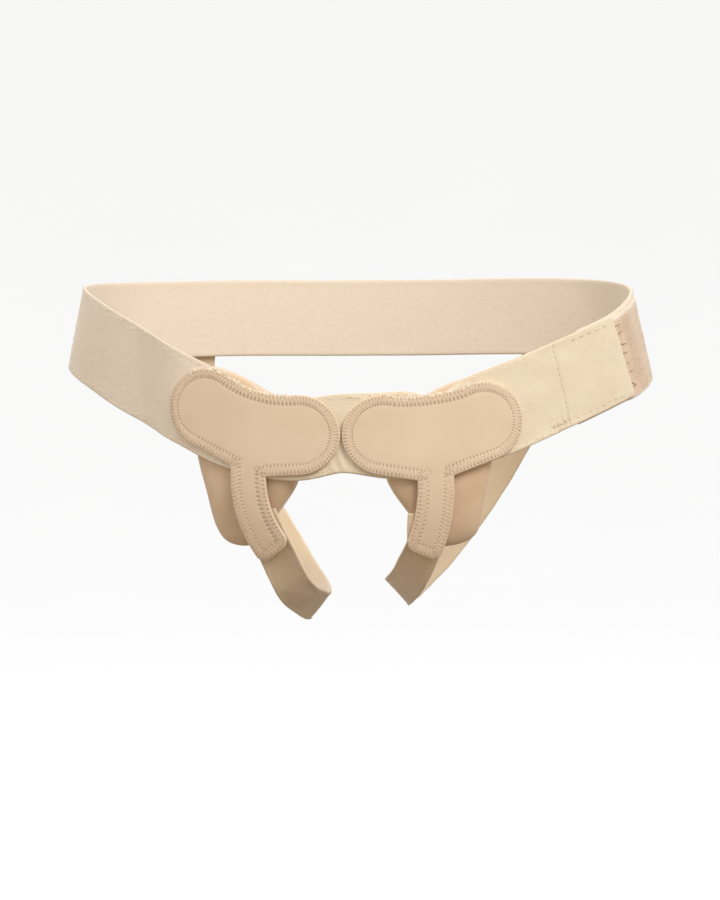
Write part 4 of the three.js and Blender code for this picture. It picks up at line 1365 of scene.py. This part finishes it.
# The bands with their stitches, nap and pilling

TICKS, TICK_RADIUS, TICK_STEPS, TICK_SEED = 8, 0.22, 9, 85
TICK_LEVELS, TICK_WANDER = (-19, 20), 0.8
TICK_STARTS, TICK_LENGTHS, TICK_FALLS = (1.0, 2.6), (4.0, 6.5), (-1, 3.5)
TICK_RISE, TICK_DIP = 0.3, 0.2
# Straight stitches on the front band: ends, then length, space, radius, seed and wander
FRONT_STITCHES = (
    ("seam_stitch", (SEAM_TOP, SEAM_FOOT), 2.0, 1.3, 0.13, 81, 0.1),
    ("edge_stitch", ((141, 21.2), (170, 21.3)), 3.4, 2.2, 0.17, 82, 0.15),
    ("foot_stitch", ((130, -21.0), (168, -21.5)), 2.0, 2.6, 0.15, 83, 0.3),
)
FOOT_LINE = (113, -20.5), (124, -21)


def front_top(along, across):
    return BAND_WALL + front_relief(along, across, BAND_WIDTH / 2 - np.abs(across))


def tab_top(along, across):
    return TAB_WALL + tab_relief(along, across, BAND_WIDTH / 2 - np.abs(across))


def make_front_stitches():
    """The seam beside the closure, the dashes along both edges, and pulled loops at the seam's foot."""
    made = [straight_stitches(name, front_place, line, front_top, *rest)
            for name, line, *rest in FRONT_STITCHES]
    made.append(loose_loops("foot_loops", front_place, FOOT_LINE, front_top, count=22, spread=0.5,
                            radius=0.15, seed=84, material=THREAD))
    return made


def make_ticks():
    """Short uneven stitches on the tab, beside the front band's end."""
    rng = np.random.default_rng(TICK_SEED)
    ticks = []
    for height in np.linspace(*TICK_LEVELS, TICKS) + rng.normal(0, TICK_WANDER, TICKS):
        first = FRONT_END + rng.uniform(*TICK_STARTS)
        last = first + rng.uniform(*TICK_LENGTHS)
        ticks.append([[first, height], [last, height - rng.uniform(*TICK_FALLS)]])
    first, last = np.moveaxis(np.array(ticks), 1, 0)[:, :, None]
    along, across = np.moveaxis(lerp(first, last, np.linspace(0, 1, TICK_STEPS)[:, None]), -1, 0)
    rise = tab_top(along, across) + arch(TICK_STEPS, TICK_RISE, TICK_DIP)
    return thread_piece("tab_tick_stitch", tab_place, along, across, rise, TICK_RADIUS, TICK_THREAD)


def edge_pills(name, place, start, end, relief, count, seed):
    """Pilling along both edges of a band, where its nap meets the selvage."""
    made = []

    def top(along, across):
        return BAND_WALL + relief(along, across, PILL_INSET)

    for label, way in (("upper", 1), ("lower", -1)):
        along = np.linspace(start + 4, end - 4, 200)
        line = np.column_stack([along, way * (half_band(along) - PILL_INSET)])
        made.append(loose_loops(f"{name}_{label}", place, line, top, count, spread=0.55, radius=0.17,
                                seed=seed + way, material=PILL))
    return made


def make_bands():
    waist_shape = (waist_place, WAIST_START, WAIST_END, half_band, BAND_WALL, waist_relief)
    front_shape = (front_place, FRONT_START, FRONT_END, half_band, BAND_WALL, front_relief)
    tab_rest = (TAB_END, half_tab, TAB_WALL, tab_relief)
    waist = strip("waist_band_cloth", *waist_shape, step=1.3, columns=40)
    dress(waist, NAPPED, ["waist_band"])
    front = strip("front_band_cloth", *front_shape, step=0.8, columns=62, mark=front_mark)
    dress(front, WOVEN, ["front_band"])
    tab = strip("closure_tab_cloth", tab_place, TAB_START, *tab_rest, step=0.9, columns=50)
    dress(tab, TAB, ["closure_tab"])
    front_sewing, ticks = make_front_stitches(), make_ticks()
    waist_nap = strip_nap("waist_band_nap", *waist_shape, faces=9000, edges=8000, length=0.75, seed=91,
                          material=NAP)
    front_nap = strip_nap("front_band_nap", *front_shape, faces=0, edges=3000, length=0.6, seed=92,
                          material=NAP)
    tab_nap = strip_nap("closure_tab_nap", tab_place, TAB_NAP_START, *tab_rest, faces=2500, edges=900,
                        length=0.7, seed=93, material=NAP)
    waist_pills = edge_pills("waist_band_pilling", waist_place, WAIST_START, WAIST_END, waist_relief,
                             count=330, seed=95)
    front_pills = edge_pills("front_band_pilling", front_place, FRONT_START, FRONT_PILLS_END, front_relief,
                             count=60, seed=98)
    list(front_sewing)


add_camera()
add_world()
add_floor()
for light in LIGHTS:
    add_light(*light)
make_bands()
for side in SIDES:
    make_patch(side)
    make_pad(side)
    make_leg_strap(side)
    make_strap_tab(side)
